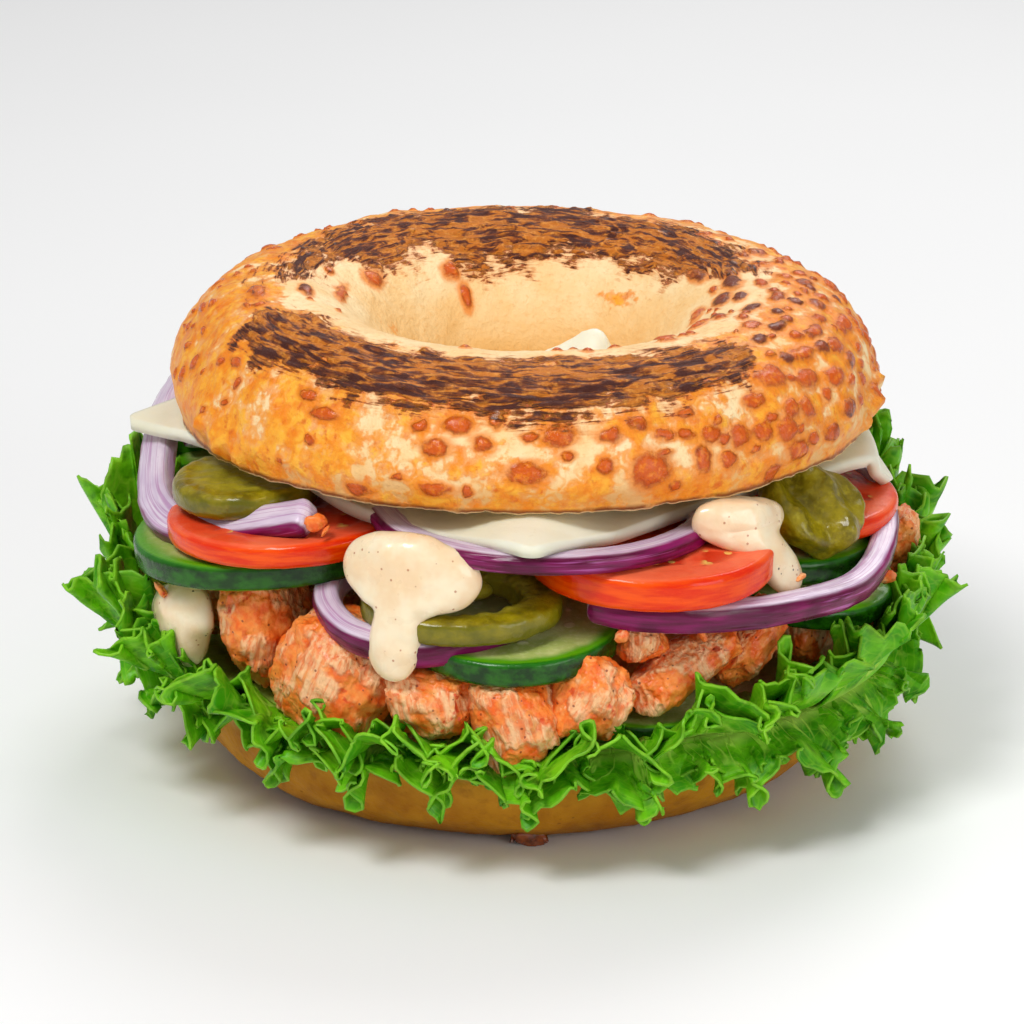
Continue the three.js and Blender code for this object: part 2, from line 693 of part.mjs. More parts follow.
add("lettuce_low_front", "lettuce", leaf({
  from: -174,
  to: -6,
  level: 18,
  fine: 3.5,
  radii: [
    [-174, 66], [-150, 66], [-126, 63.5], [-100, 63.5], [-80, 64], [-62, 64.5], [-44, 65],
    [-20, 64], [-6, 63],
  ],
  heights: [
    [-174, 20], [-158, 17.8], [-143, 19], [-126, 15.4], [-100, 15.8], [-80, 13.4], [-62, 13.4],
    [-44, 13], [-28, 12.4], [-6, 18],
  ],
}));
add("lettuce_low_back", "lettuce", leaf({
  from: -2,
  to: 182,
  level: 18,
  fine: 2.4,
  radii: [[-2, 64], [40, 66], [90, 65], [140, 66], [182, 67]],
  heights: [[-2, 21], [30, 16], [60, 14], [90, 17], [120, 14], [150, 17], [182, 22]],
}));

const largestBody = (solid) => solid.decompose().sort((a, b) => b.volume() - a.volume())[0];

// Builds each piece, cuts it clear of the pieces before it, and keeps its largest body.
const bagel = new THREE.Group();
const placed = [];
const apart = (a, b) =>
  [0, 1, 2].some((k) => a.min[k] > b.max[k] || b.min[k] > a.max[k]);
for (const [name, look, make] of pieces) {
  let solid = solidOf(make(0));
  for (const other of placed) {
    if (apart(solid.boundingBox(), other.boundingBox())) continue;
    solid = solid.subtract(other);
  }
  // Welding its vertices can part a body that hangs on by a thread, so the largest is taken again after it.
  solid = largestBody(solidOf(geometryOf(largestBody(solid))));
  placed.push(solidOf(make(GAP)).add(solid));
  const mesh = new THREE.Mesh(geometryOf(solid), new THREE.MeshStandardMaterial(looks[look]));
  mesh.name = name;
  bagel.add(mesh);
}

// The origin is under the middle of the whole, lettuce and all.
const middle = new THREE.Box3().setFromObject(bagel).getCenter(new THREE.Vector3());
bagel.position.set(-middle.x, -middle.y, 0);

export default bagel;
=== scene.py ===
import math
import random

import bmesh
import bpy
import numpy as np
from mathutils import Matrix, Vector, noise


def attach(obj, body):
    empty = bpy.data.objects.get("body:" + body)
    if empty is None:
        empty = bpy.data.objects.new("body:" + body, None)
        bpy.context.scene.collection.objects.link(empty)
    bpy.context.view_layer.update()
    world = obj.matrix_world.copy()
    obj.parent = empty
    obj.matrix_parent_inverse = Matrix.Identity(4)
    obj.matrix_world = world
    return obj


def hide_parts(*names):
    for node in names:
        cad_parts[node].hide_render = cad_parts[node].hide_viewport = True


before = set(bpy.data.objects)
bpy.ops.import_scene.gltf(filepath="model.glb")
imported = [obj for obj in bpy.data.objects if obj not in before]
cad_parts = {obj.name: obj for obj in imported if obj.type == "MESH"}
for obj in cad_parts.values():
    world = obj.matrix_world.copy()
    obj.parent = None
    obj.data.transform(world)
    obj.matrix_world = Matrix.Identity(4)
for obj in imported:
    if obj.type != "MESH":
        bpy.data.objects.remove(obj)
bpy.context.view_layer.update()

# Heel
# The lower half of the sliced bagel, plain baked wheat dough. It lies cut side up, so that its smooth
# baked side is down, and it stands on a flat ring of its crust.
HEEL_RADIUS = 54.4
HEEL_HEIGHT = 17
HEEL_HOLE = 15
HEEL_SHIFT = -1.1
# Where the crown's upright axis stands in the bagel's own frame, in millimetres.
AXIS = Vector((1.35951, -2.39348, 0))
MILLIMETRE = 0.001


def smooth(t):
    t = np.clip(t, 0, 1)
    return t * t * (3 - 2 * t)


def uneven(p, seed, wavelength):
    """The unevenness of the solids: three crossed waves, between -1 and 1."""
    k = 2 * math.pi / wavelength
    x, y, z = p.T
    return (
        np.sin(k * (x + 0.6 * y) + 12.99 * seed)
        + np.sin(k * (1.2 * y - 0.8 * z) + 78.23 * seed)
        + np.sin(k * (1.1 * z + 0.7 * x) + 37.72 * seed)
    ) / 3


def lumpy(p, size, seed=0, octaves=3):
    """Random lumps, so many millimetres across, of about -1 to 1."""
    moved = Vector((7.3 * seed, 3.1 * seed, 5.7 * seed))
    return np.array([noise.fractal(Vector(q) / size + moved, 0.7, 2.1, octaves) for q in p])


def bagel_section(outer, hole, height, outer_fullness, inner_fullness, steps):
    """Half a bagel cut across: its cut face at height 0 and its baked side above it."""
    middle = (outer + hole) / 2
    half = (outer - hole) / 2
    section = []
    for i in range(steps + 1):
        a = math.pi * i / steps
        fullness = outer_fullness if a < math.pi / 2 else inner_fullness
        across = math.copysign(abs(math.cos(a)) ** (2 / fullness), math.cos(a))
        up = max(math.sin(a), 0) ** (2 / fullness)
        drawn_in = 1.4 * (1 - float(smooth(up / 0.25))) if a < math.pi / 2 else 0
        section.append((middle + across * half - drawn_in, up * height))
    last, first = section[-1][0], section[0][0]
    cuts = steps // 5
    section += [(last + (first - last) * i / cuts, 0) for i in range(1, cuts)]
    return section


def spun(section, steps):
    """A section turned once round the upright axis and closed."""
    mesh = bmesh.new()
    corners = [mesh.verts.new((r, 0, z)) for r, z in section]
    edges = [mesh.edges.new(pair) for pair in zip(corners, corners[1:] + corners[:1])]
    bmesh.ops.spin(
        mesh,
        geom=corners + edges,
        cent=(0, 0, 0),
        axis=(0, 0, 1),
        angle=2 * math.pi,
        steps=steps,
        use_merge=True,
    )
    bmesh.ops.remove_doubles(mesh, verts=mesh.verts[:], dist=1e-4)
    bmesh.ops.recalc_face_normals(mesh, faces=mesh.faces[:])
    return mesh


def points(mesh):
    return np.array([v.co for v in mesh.verts])


def moved_to(mesh, p):
    for vert, place in zip(mesh.verts, p):
        vert.co = place
    return mesh


def raised(mesh, height):
    """Moves each vertex of the surface outwards by its own height."""
    mesh.normal_update()
    for vert, up in zip(mesh.verts, height):
        vert.co += vert.normal * float(up)
    return mesh


def marked(mesh, **fields):
    """Keeps numbers or vectors on the vertices, for the finish to read by name."""
    for name, values in fields.items():
        layers = mesh.verts.layers
        layer = layers.float.new(name) if values.ndim == 1 else layers.float_vector.new(name)
        mesh.verts.ensure_lookup_table()
        for vert, value in zip(mesh.verts, values.tolist()):
            vert[layer] = value
    return mesh


def filling(name, mesh, finish, slot, *nodes):
    """Sets a piece, worked out in millimetres from the crown's axis, into the bagel in metres."""
    for vert in mesh.verts:
        vert.co = (vert.co + AXIS) * MILLIMETRE
    bmesh.ops.recalc_face_normals(mesh, faces=mesh.faces[:])
    data = bpy.data.meshes.new(name)
    mesh.to_mesh(data)
    mesh.free()
    data.shade_smooth()
    data.materials.append(finish)
    made = bpy.data.objects.new(name, data)
    bpy.context.scene.collection.objects.link(made)
    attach(made, "root")
    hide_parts(*nodes)


class Value:
    """A number or a colour in a finish. A sum on it adds the Math nodes that work it out."""

    def __init__(self, tree, socket=None):
        self.tree = tree
        self.socket = socket

    def node(self, kind, settings=None, inputs=None, output=0):
        """Adds any node: its settings first, then the values or links of its sockets."""
        node = self.tree.nodes.new(kind)
        for name, setting in (settings or {}).items():
            setattr(node, name, setting)
        for name, given in (inputs or {}).items():
            if isinstance(given, Value):
                self.tree.links.new(given.socket, node.inputs[name])
            else:
                node.inputs[name].default_value = given
        return Value(self.tree, node.outputs[output])

    def sum(self, operation, *terms):
        return self.node("ShaderNodeMath", {"operation": operation}, dict(enumerate(terms)))

    def __add__(self, other):
        return self.sum("ADD", self, other)

    def __sub__(self, other):
        return self.sum("SUBTRACT", self, other)

    def __rsub__(self, other):
        return self.sum("SUBTRACT", other, self)

    def __mul__(self, other):
        return self.sum("MULTIPLY", self, other)

    def __abs__(self):
        return self.sum("ABSOLUTE", self)

    __radd__ = __add__
    __rmul__ = __mul__

    def rise(self, low, high):
        """0 where the value is at low, 1 where it is at high, and eased between."""
        return self.node(
            "ShaderNodeMapRange",
            {"interpolation_type": "SMOOTHSTEP"},
            {"Value": self, "From Min": low, "From Max": high},
        )

    def between(self, one, other):
        """One colour where the value is 0, and the other where it is 1."""
        return self.node(
            "ShaderNodeMix", {"data_type": "RGBA"}, {0: self, 6: one, 7: other}, output=2
        )

    def over(self, under, red, green, blue):
        """A colour laid over another one, as far as the value goes."""
        return self.between(under, colour(red, green, blue))

    def mottled(self, low, high, one, other):
        """One colour where the value is at low, and the other where it is at high."""
        return self.rise(low, high).between(colour(*one), colour(*other))


def colour(red, green, blue):
    """A colour given on a 0 to 255 scale, as the shader wants it."""
    linear = [
        (c / 255 / 12.92) if c <= 10 else (((c / 255) + 0.055) / 1.055) ** 2.4
        for c in (red, green, blue)
    ]
    return (*linear, 1)


class Finish:
    """A food's surface: one material, with the values that the finish is worked out from."""

    def __init__(self, name, **sockets):
        self.material = bpy.data.materials.new(name)
        self.material.use_nodes = True
        self.surface = self.material.node_tree.nodes["Principled BSDF"]
        self.start = Value(self.material.node_tree)
        for socket, given in sockets.items():
            self.surface.inputs[socket.replace("_", " ")].default_value = given
        self.place = self.start.node("ShaderNodeTexCoord", output="Object")

    def field(self, name, output="Fac"):
        return self.start.node("ShaderNodeAttribute", {"attribute_name": name}, output=output)

    def part(self, vector, axis):
        return self.start.node("ShaderNodeSeparateXYZ", None, {"Vector": vector}, output=axis)

    def stretched(self, vector, scale):
        return self.start.node(
            "ShaderNodeVectorMath", {"operation": "MULTIPLY"}, {0: vector, 1: scale}
        )

    def sliced_face(self):
        """The place on a slice: in all, across its face only, and its share of the radius."""
        face = self.field("face", "Vector")
        across = self.stretched(face, (1, 1, 0))
        share = self.start.node("ShaderNodeVectorMath", {"operation": "LENGTH"}, {0: across}, "Value")
        return face, across, share

    def lumps(self, size, detail=3, rough=0.55, at=None, warp=0.0, output="Fac"):
        """Random lumps of a size in millimetres, between 0 and 1."""
        scale = 1000 / size if at is None else 1 / size
        return self.start.node(
            "ShaderNodeTexNoise",
            None,
            {
                "Vector": at or self.place,
                "Scale": scale,
                "Detail": detail,
                "Roughness": rough,
                "Distortion": warp,
            },
            output=output,
        )

    def cells(self, size, feature="F1", at=None, output="Distance", true_size=False):
        """How far it is to the middle of the nearest of many scattered spots."""
        scale = 1000 / size if at is None or true_size else 1 / size
        return self.start.node(
            "ShaderNodeTexVoronoi",
            {"feature": feature},
            {"Vector": at or self.place, "Scale": scale},
            output=output,
        )

    def done(self, base, rough=None, coat=None, height=None, depth=0.3, strength=0.6):
        """Joins colour, roughness and relief to the surface. The relief is so many millimetres deep."""
        links = self.material.node_tree.links
        links.new(base.socket, self.surface.inputs["Base Color"])
        if rough is not None:
            links.new(rough.socket, self.surface.inputs["Roughness"])
        if coat is not None:
            links.new(coat.socket, self.surface.inputs["Coat Weight"])
        if height is not None:
            bump = self.start.node(
                "ShaderNodeBump",
                None,
                {"Height": height, "Distance": depth / 1000, "Strength": strength},
            )
            links.new(bump.socket, self.surface.inputs["Normal"])
        return self.material


crumb = Finish("plain_baked_dough", Specular_IOR_Level=0.15)
height = crumb.part(crumb.place, 2)
baked = crumb.lumps(9).mottled(0.35, 0.7, (196, 134, 26), (170, 106, 12))
baked = (crumb.lumps(2.2, 4).rise(0.5, 0.75) * 0.5).over(baked, 146, 84, 12)
pore = crumb.cells(2.6).rise(0.16, 0.08) * crumb.lumps(14).rise(0.45, 0.65)
baked = (pore * 0.6).over(baked, 120, 66, 12)
pale = height.rise(0.0125, 0.0165)
toasted = pale.over(baked, 236, 200, 140)
dark_foot = height.rise(0.0055, 0.0005) * 0.6
toasted = dark_foot.over(toasted, 128, 72, 20)
heel_finish = crumb.done(
    toasted,
    rough=crumb.lumps(3).rise(0, 1) * 0.2 + 0.5,
    height=crumb.lumps(1.3, 5) + crumb.lumps(5) * 0.8,
    depth=0.5,
)

heel = spun(bagel_section(HEEL_RADIUS, HEEL_HOLE, HEEL_HEIGHT, 2.5, 2.2, 70), 300)
p = points(heel)
baked_side = smooth(p[:, 2] / 6)
outward = 1 + 0.7 * baked_side * uneven(p, 8, 47) / HEEL_RADIUS
z = HEEL_HEIGHT - p[:, 2] * 1.03
flat = 1 - smooth(z / 1.5)
relief = 0.35 * baked_side * (1 - flat) * lumpy(p, 7, seed=2)
moved_to(heel, np.stack([p[:, 0] * outward + HEEL_SHIFT, -p[:, 1] * outward, np.maximum(z, 0)], 1))
bmesh.ops.recalc_face_normals(heel, faces=heel.faces[:])
raised(heel, relief)
filling("heel", heel, heel_finish, "dough", "bagel_heel")

# Lettuce
# Frilly green leaves laid between the halves. Each leaf is flat under the filling and ruffled outside it
# in two folds, with pale ribs that fan out to a toothed edge, and two leaves hang down over the heel.
RUFFLES = 26
RUFFLE_HEIGHT = 3
RUFFLE_SWAY = 1.6
LEAF_FLAT = 0.22
LEAF_INNER = 40
LEAF_THICK = 0.45
LEAF_EDGE = 62  # the usual radius of the ruffled edge
LEAF_TIP = 14  # how far it is over the ruffled part to the edge
LEAF_ROWS = 34
LEAF_COLUMNS = 3.6  # for each degree
# Each leaf has a second fold, which stands nearer to the filling and a little higher.
FRILL_IN = 3.2
FRILL_UP = 0.8
LEAVES = {
    "lettuce_front": dict(
        span=(-143, -46),
        level=19.6,
        turn=57,
        radii=[(-143, 67), (-120, 66.5), (-95, 66), (-75, 66), (-55, 67), (-46, 67.5)],
        heights=[(-143, 27), (-125, 21), (-105, 22.5), (-90, 20), (-75, 23), (-60, 27), (-46, 29)],
    ),
    "lettuce_right": dict(
        span=(-43, 47),
        level=19.6,
        turn=59.6,
        radii=[(-43, 65.5), (-25, 66), (-8, 64), (6, 61.8), (18, 61), (32, 61.5), (47, 64)],
        heights=[(-43, 29), (-25, 34), (-8, 35), (6, 40), (18, 45), (32, 42), (47, 30)],
    ),
    "lettuce_left": dict(
        span=(132, 214),
        level=19.6,
        turn=61,
        radii=[(132, 65), (148, 62), (162, 63.5), (172, 65), (184, 67.5), (197, 69.5), (214, 67)],
        heights=[(132, 30), (148, 47), (162, 46), (172, 43), (184, 36), (197, 34), (214, 27)],
    ),
    "lettuce_back": dict(
        span=(50, 129),
        level=19.6,
        turn=57,
        radii=[(50, 66), (90, 68), (129, 66)],
        heights=[(50, 29), (75, 25), (100, 30), (129, 27)],
    ),
    "lettuce_low_front": dict(
        span=(-174, -6),
        level=18,
        turn=57,
        radii=[
            (-174, 66), (-150, 66), (-126, 63.5), (-100, 63.5), (-80, 64), (-62, 64.5), (-44, 65),
            (-20, 64), (-6, 63),
        ],
        heights=[
            (-174, 20), (-158, 17.8), (-143, 19), (-126, 15.4), (-100, 15.8), (-80, 13.4),
            (-62, 13.4), (-44, 13), (-28, 12.4), (-6, 18),
        ],
    ),
    "lettuce_low_back": dict(
        span=(-2, 182),
        level=18,
        turn=57,
        radii=[(-2, 64), (40, 66), (90, 65), (140, 66), (182, 67)],
        heights=[(-2, 21), (30, 16), (60, 14), (90, 17), (120, 14), (150, 17), (182, 22)],
    ),
}


def eased(rows, place):
    """The value at a place of a curve given as rows of place and value."""
    x, y = np.array(rows, float).T
    i = np.clip(np.searchsorted(x, place, side="right") - 1, 0, len(x) - 2)
    return y[i] + (y[i + 1] - y[i]) * smooth((place - x[i]) / (x[i + 1] - x[i]))


def thickened(mesh, thickness):
    """Gives an open sheet a second face below the first one, and a wall round its edge."""
    mesh.normal_update()
    doubled = bmesh.ops.extrude_face_region(mesh, geom=mesh.faces[:], use_keep_orig=True)
    for vert in [v for v in doubled["geom"] if isinstance(v, bmesh.types.BMVert)]:
        vert.co -= vert.normal * thickness
    return mesh


def leaf(span, level, turn, radii, heights, seed):
    """A leaf as a grid: along its edge from one azimuth to another, and across it from its flat part."""
    mesh = bmesh.new()
    columns = int((span[1] - span[0]) * LEAF_COLUMNS)
    bmesh.ops.create_grid(mesh, x_segments=columns, y_segments=LEAF_ROWS, size=0.5)
    grid = points(mesh)
    azimuth = span[0] + (span[1] - span[0]) * (grid[:, 0] + 0.5)
    v = 0.12 + 0.88 * (grid[:, 1] + 0.5) ** 0.75
    w = np.clip((v - LEAF_FLAT) / (1 - LEAF_FLAT), 0, 1)
    turned = np.radians(azimuth)
    edge = [np.cos(turned) * LEAF_EDGE, np.sin(turned) * LEAF_EDGE, np.full_like(v, seed * 31)]
    edge = np.stack(edge, 1)
    folds = edge + np.stack([w * 0, w * 0, w * 5], 1)
    notch = np.clip(lumpy(edge, 6.5, seed + 3, 2), -1, 0.6)
    tooth = np.abs(lumpy(edge, 1.5, seed, 2))
    reach = w * (1 + 0.24 * w**2 * notch - 0.2 * w**4 * tooth)
    run = eased(radii, azimuth) - turn
    rise = eased(heights, azimuth) - level
    wave = RUFFLES * turned + 0.9 * np.sin(3 * turned) + 0.6 * np.sin(7 * turned)
    drift = lumpy(folds, 16, seed + 5, 2)
    frill = 2.6 * wave + 5 * drift + seed
    curl = 6.3 * wave + 6 * lumpy(folds, 7, seed + 7, 2) + 2 * w
    size = reach**1.4
    steep = np.arctan2(rise, run)
    ruffle = RUFFLE_HEIGHT * size
    proud = 2.5 * w**1.7 * np.sin(frill) + 0.55 * w**4 * np.sin(curl) + 0.7 * w * lumpy(folds, 4, seed + 9)
    out = ruffle * np.abs(np.sin(steep)) * (0.5 - np.sin(wave)) - proud * np.sin(steep)
    up = ruffle * np.cos(steep) * np.sin(wave) + proud * np.cos(steep)
    flat_radius = LEAF_INNER + (turn - LEAF_INNER) * np.minimum(v / LEAF_FLAT, 1)
    radius = np.where(v <= LEAF_FLAT, flat_radius, turn + run * reach + out)
    sway = RUFFLE_SWAY * size * np.sin(2 * wave) + 1.3 * w**1.8 * np.sin(2 * frill)
    bearing = turned + sway / 64
    z = np.where(v <= LEAF_FLAT, level, level + rise * reach**1.3 + up)
    p = np.stack([radius * np.cos(bearing), radius * np.sin(bearing), z], 1)
    rib = np.stack([np.degrees(turned) * 1.08, w * LEAF_TIP, proud], 1)
    return thickened(marked(moved_to(mesh, p), rib=rib), LEAF_THICK)


green = Finish("lettuce_leaf", Specular_IOR_Level=0.25)
rib = green.field("rib", "Vector")
along = green.part(rib, 1)
branch = green.lumps(3.2, 2, at=green.stretched(rib, (1, 0.22, 0)), warp=0.6)
vein = abs(branch - 0.5).rise(0.045, 0.0) * along.rise(13, 3)
mesh_of_veins = green.cells(1.5, "DISTANCE_TO_EDGE", at=green.stretched(rib, (1, 1, 0))).rise(0.10, 0.0)
body = green.lumps(6).mottled(0.3, 0.7, (58, 148, 2), (118, 198, 16))
body = (green.lumps(2.5).rise(0.45, 0.75) * 0.7).over(body, 24, 98, 0)
body = along.rise(4, 0).over(body, 178, 214, 92)
body = (vein * 0.7).over(body, 190, 228, 90)
body = (mesh_of_veins * 0.22).over(body, 168, 216, 60)
body = (along.rise(13.5, 14) * 0.25).over(body, 170, 222, 60)
leaf_finish = green.done(
    body,
    rough=green.lumps(2).rise(0, 1) * 0.2 + 0.32,
    height=vein * 0.7 + green.lumps(1.6, 2) * 0.8,
    depth=0.35,
)
for seed, (name, plan) in enumerate(LEAVES.items()):
    filling(name + "_leaf", leaf(seed=seed + 1, **plan), leaf_finish, "lettuce", name)
    nearer = [(azimuth, radius - FRILL_IN) for azimuth, radius in plan["radii"]]
    higher = [(azimuth, z + FRILL_UP) for azimuth, z in plan["heights"]]
    frill = leaf(plan["span"], plan["level"] + 0.5, plan["turn"] - 1.5, nearer, higher, seed + 14)
    filling(name + "_frill", frill, leaf_finish, "lettuce", name)

# Chicken
# Chunks of cooked chicken breast, torn along the grain and tossed in an orange spice sauce. They are packed
# round the rim, and the middle of the bagel is filled with the same meat.
CHUNKS = [
    (-163, 49, 29.4, (7, 6.6, 7), -12, 21),
    (-139, 53, 31.4, (7.2, 7, 9.4), 14, 22),
    (-121.5, 54.6, 27.8, (10, 7.4, 10.4), 24, 23),
    (-104.6, 55.4, 26.6, (7.6, 6.4, 6), -10, 24),
    (-91.6, 57, 25.4, (6.9, 6.2, 8.2), -16, 25),
    (-80.6, 56, 27.6, (6.2, 6.2, 7.4), 24, 26),
    (-71.5, 53, 35, (4, 4.4, 3.6), 0, 27),
    (-65, 54.6, 30, (9.8, 4.8, 4.2), -26, 28),
    (-52, 54.2, 31.4, (7.8, 4.8, 4), -44, 29),
    (-31, 51, 27.4, (7, 6, 5.4), 10, 30),
    (-8, 58, 34.8, (4.6, 4.6, 6.6), 8, 31),
    (20, 51.6, 29.6, (8, 6.6, 7), -16, 32),
    (44, 52, 28.8, (8.4, 6.6, 7.4), 12, 33),
    (69, 53, 29, (8.2, 6.8, 7.2), -20, 34),
    (93, 52, 30, (8, 6.6, 8), 16, 35),
    (118, 53, 27.6, (8.4, 6.8, 7), -8, 36),
    (143, 52, 28, (8.2, 6.6, 7.2), 18, 37),
    (170, 52, 30, (8, 6.6, 7.4), -14, 38),
]


def round_the_bagel(azimuth, radius, z):
    a = math.radians(azimuth)
    return np.array([radius * math.cos(a), radius * math.sin(a), z])


def rotated(p, *turns):
    """Turns points about one axis after another, by degrees."""
    for degrees, axis in turns:
        p = p @ np.array(Matrix.Rotation(math.radians(degrees), 3, axis)).T
    return p


def chunk(azimuth, radius, z, half, turn, seed):
    """A blunt lump with flat torn facets. Its grain runs up and down before the lump is turned."""
    mesh = bmesh.new()
    bmesh.ops.create_icosphere(mesh, subdivisions=6, radius=1)
    ball = points(mesh)
    rough = 1 + 0.13 * uneven(ball, seed, 2.1) + 0.05 * uneven(ball, seed + 4, 0.9)
    blunt = np.sign(ball) * np.abs(ball) ** 0.72
    facets = np.random.default_rng(seed).normal(size=(14, 3))
    for k, facet in enumerate(facets / np.linalg.norm(facets, axis=1)[:, None]):
        over = np.maximum(blunt @ facet - (0.9 + 0.025 * (k % 4)), 0)
        blunt -= facet * over[:, None] * 0.8
    p = blunt * np.array(half) * rough[:, None] * 0.97
    strands = lumpy(p * [1, 1, 0.14], 1.5, seed, 3)
    fibrous = smooth(0.5 + 0.9 * lumpy(p, 6, seed + 6, 2))
    torn = lumpy(p, 3, seed + 2, 4)
    p = p * (1 + (0.42 * strands * (0.3 + 0.7 * fibrous) + 0.6 * torn)[:, None] / np.array(half).mean())
    place = rotated(p, (turn, "Y"), (azimuth + 90, "Z")) + round_the_bagel(azimuth, radius, z)
    return marked(moved_to(mesh, place), grain=p + seed * 13, fibrous=fibrous)


meat = Finish("spiced_chicken", Specular_IOR_Level=0.25, Coat_Weight=0.25, Coat_Roughness=0.2)
grain = meat.field("grain", "Vector")
strand = meat.lumps(0.8, 3, at=meat.stretched(grain, (1, 1, 0.12)))
patch = meat.lumps(3.6, 3, at=grain)
bare = (meat.field("fibrous") + (patch - 0.5) * 1.6).rise(0.35, 0.75)
flesh = meat.lumps(2.2, 3, at=grain).mottled(0.35, 0.65, (252, 146, 62), (240, 100, 24))
bared = strand.mottled(0.36, 0.62, (240, 132, 72), (255, 210, 156))
flesh = (bare * 0.8).between(flesh, bared)
flesh = (meat.lumps(1.5, 4, at=grain).rise(0.52, 0.7) * 0.6).over(flesh, 254, 172, 96)
red = meat.lumps(2.0, 2, at=grain).rise(0.62, 0.7) * meat.lumps(7, 1, at=grain).rise(0.4, 0.6)
flesh = (red * 0.75).over(flesh, 214, 46, 2)
fleck = meat.cells(1.9, at=grain).rise(0.14, 0.08)
flesh = (fleck * 0.8).over(flesh, 120, 36, 10)
meat_finish = meat.done(
    flesh,
    rough=patch.rise(0.3, 0.7) * 0.25 + 0.28,
    height=strand * bare * 1.4 + meat.lumps(1.2, 4) * 0.9,
    depth=0.6,
    strength=0.7,
)
for i, plan in enumerate(CHUNKS):
    name = f"chicken_{i + 1:02d}"
    filling(name + "_chunk", chunk(*plan), meat_finish, "chicken", name)

half_section = [(2 * i + 0.01, 20.6) for i in range(20)] + [(40, 22), (41, 24), (40.7, 27), (40, 30)]
half_section += [(39 - 1.95 * i + 0.01, 31 + 0.03 * i) for i in range(21)]
mesh = spun(half_section, 120)
core = points(mesh)
core[:, 2] += np.where(core[:, 2] > 28, 0.9 * uneven(core, 2, 19) + 0.7 * lumpy(core, 6), 0)
marked(mesh, grain=core, fibrous=smooth(0.5 + 0.9 * lumpy(core, 6, 5, 2)))
filling("chicken_middle", moved_to(mesh, core), meat_finish, "chicken", "chicken_core")

# Cucumber
# Crosswise slices with a dark green skin, a bright green line under it and a pale, moist face with seeds.
# They lie flat in a loose layer over the chicken.
# The slices' rows: centre, radius, thickness, degrees it leans, azimuth it leans towards, and seed.
CUCUMBERS = {
    "cucumber_left": ((-37.6, -22.2, 42.6), 23.4, 4, 6, 178, 6),
    "cucumber_right": ((37.5, -18.5, 41.4), 17.5, 4, 7, -40, 8),
    "cucumber_front": ((-2, -46, 35.2), 16.6, 4.1, 6, -95, 9),
    "cucumber_right_low": ((42.5, -22.5, 34.8), 14.5, 3.6, 12, -40, 10),
    "cucumber_side_right": ((40, 5, 37), 15, 3.6, 4, 5, 18),
    "cucumber_side_left": ((-41, 5, 35.2), 14.5, 3.6, 3, 175, 19),
    "cucumber_under": ((17.6, -44, 22.2), 11.5, 2.6, 4, -80, 11),
    "cucumber_back_left": ((-37, 24.5, 38.8), 21, 3.8, 4, 140, 15),
    "cucumber_back": ((2, 40, 44.4), 19.6, 4, 6, 88, 16),
    "cucumber_back_right": ((35, 28, 41.6), 20.6, 4, 7, 36, 17),
}


def slice_section(radius, thick, rim, steps=22):
    """Half of a flat round slice cut across, from the middle of its lower face to that of its upper."""
    h = thick / 2
    flat = [(radius - rim) * i / steps for i in range(steps + 1)]
    flat[0] = 0.01
    bend = [math.radians(90 * i / 5) for i in range(1, 6)]
    side = [(radius - rim + rim * math.sin(a), -h + rim - rim * math.cos(a)) for a in bend]
    wall = [(radius, (-1 + 2 * i / 5) * (h - rim)) for i in range(1, 5)]
    return (
        [(r, -h) for r in flat]
        + side
        + wall
        + [(r, -z) for r, z in reversed(side)]
        + [(r, h) for r in reversed(flat)]
    )


def leaning(p, lean, toward, centre):
    """Leans a flat slice, so that its edge at the azimuth "toward" is lowest, and sets it in place."""
    a = math.radians(toward)
    turn = Matrix.Rotation(math.radians(lean), 3, Vector((-math.sin(a), math.cos(a), 0)))
    return p @ np.array(turn).T + np.array(centre)


def sliced(centre, radius, thick, lean, toward, seed, rim=0.9, waviness=0.1, steps=170):
    mesh = spun(slice_section(radius, thick, rim), steps)
    p = points(mesh)
    p[:, :2] *= (1 + 0.02 * uneven(p, seed, 31))[:, None]
    face = np.stack([p[:, 0] / radius, p[:, 1] / radius, p[:, 2] / (thick / 2)], 1)
    p[:, 2] += waviness * lumpy(p * [1, 1, 0], 5, seed)
    return marked(moved_to(mesh, leaning(p, lean, toward, centre)), face=face)


cool = Finish("cucumber_slice", Specular_IOR_Level=0.25, Coat_Weight=0.2, Coat_Roughness=0.12)
face, _, rho = cool.sliced_face()
wobble = cool.lumps(0.25, 2, at=face) * 0.06
pale = cool.lumps(0.5, 3, at=face).mottled(0.3, 0.7, (198, 206, 128), (160, 182, 84))
pale = (cool.lumps(0.05, 4, at=face).rise(0.45, 0.7) * 0.35).over(pale, 214, 222, 162)
pale = (rho + wobble).rise(0.62, 0.5).over(pale, 208, 214, 142)
seeds = cool.cells(0.17, at=cool.stretched(face, (1, 1, 0.3))).rise(0.36, 0.28)
seeds = seeds * rho.rise(0.64, 0.55) * rho.rise(0.1, 0.2)
pale = (seeds * 0.7).over(pale, 236, 234, 190)
pale = (rho + wobble).rise(0.86, 0.97).over(pale, 88, 160, 10)
streak = cool.lumps(0.12, 3, at=cool.stretched(face, (1, 1, 0.15)))
skin = streak.mottled(0.35, 0.7, (12, 52, 2), (34, 98, 4))
# Painted light: the upper part of the skin is painted a lighter green, where light from above falls on it.
skin = (cool.part(face, 2).rise(0.55, 1.0) * 0.7).over(skin, 30, 120, 4)
side = rho.rise(0.955, 0.985)
cool_finish = cool.done(
    side.between(pale, skin),
    rough=side * -0.08 + 0.34,
    height=cool.lumps(1.1, 3) + seeds * 0.6,
    depth=0.25,
)
for name, plan in CUCUMBERS.items():
    filling(name + "_slice", sliced(*plan), cool_finish, "cucumber", name)

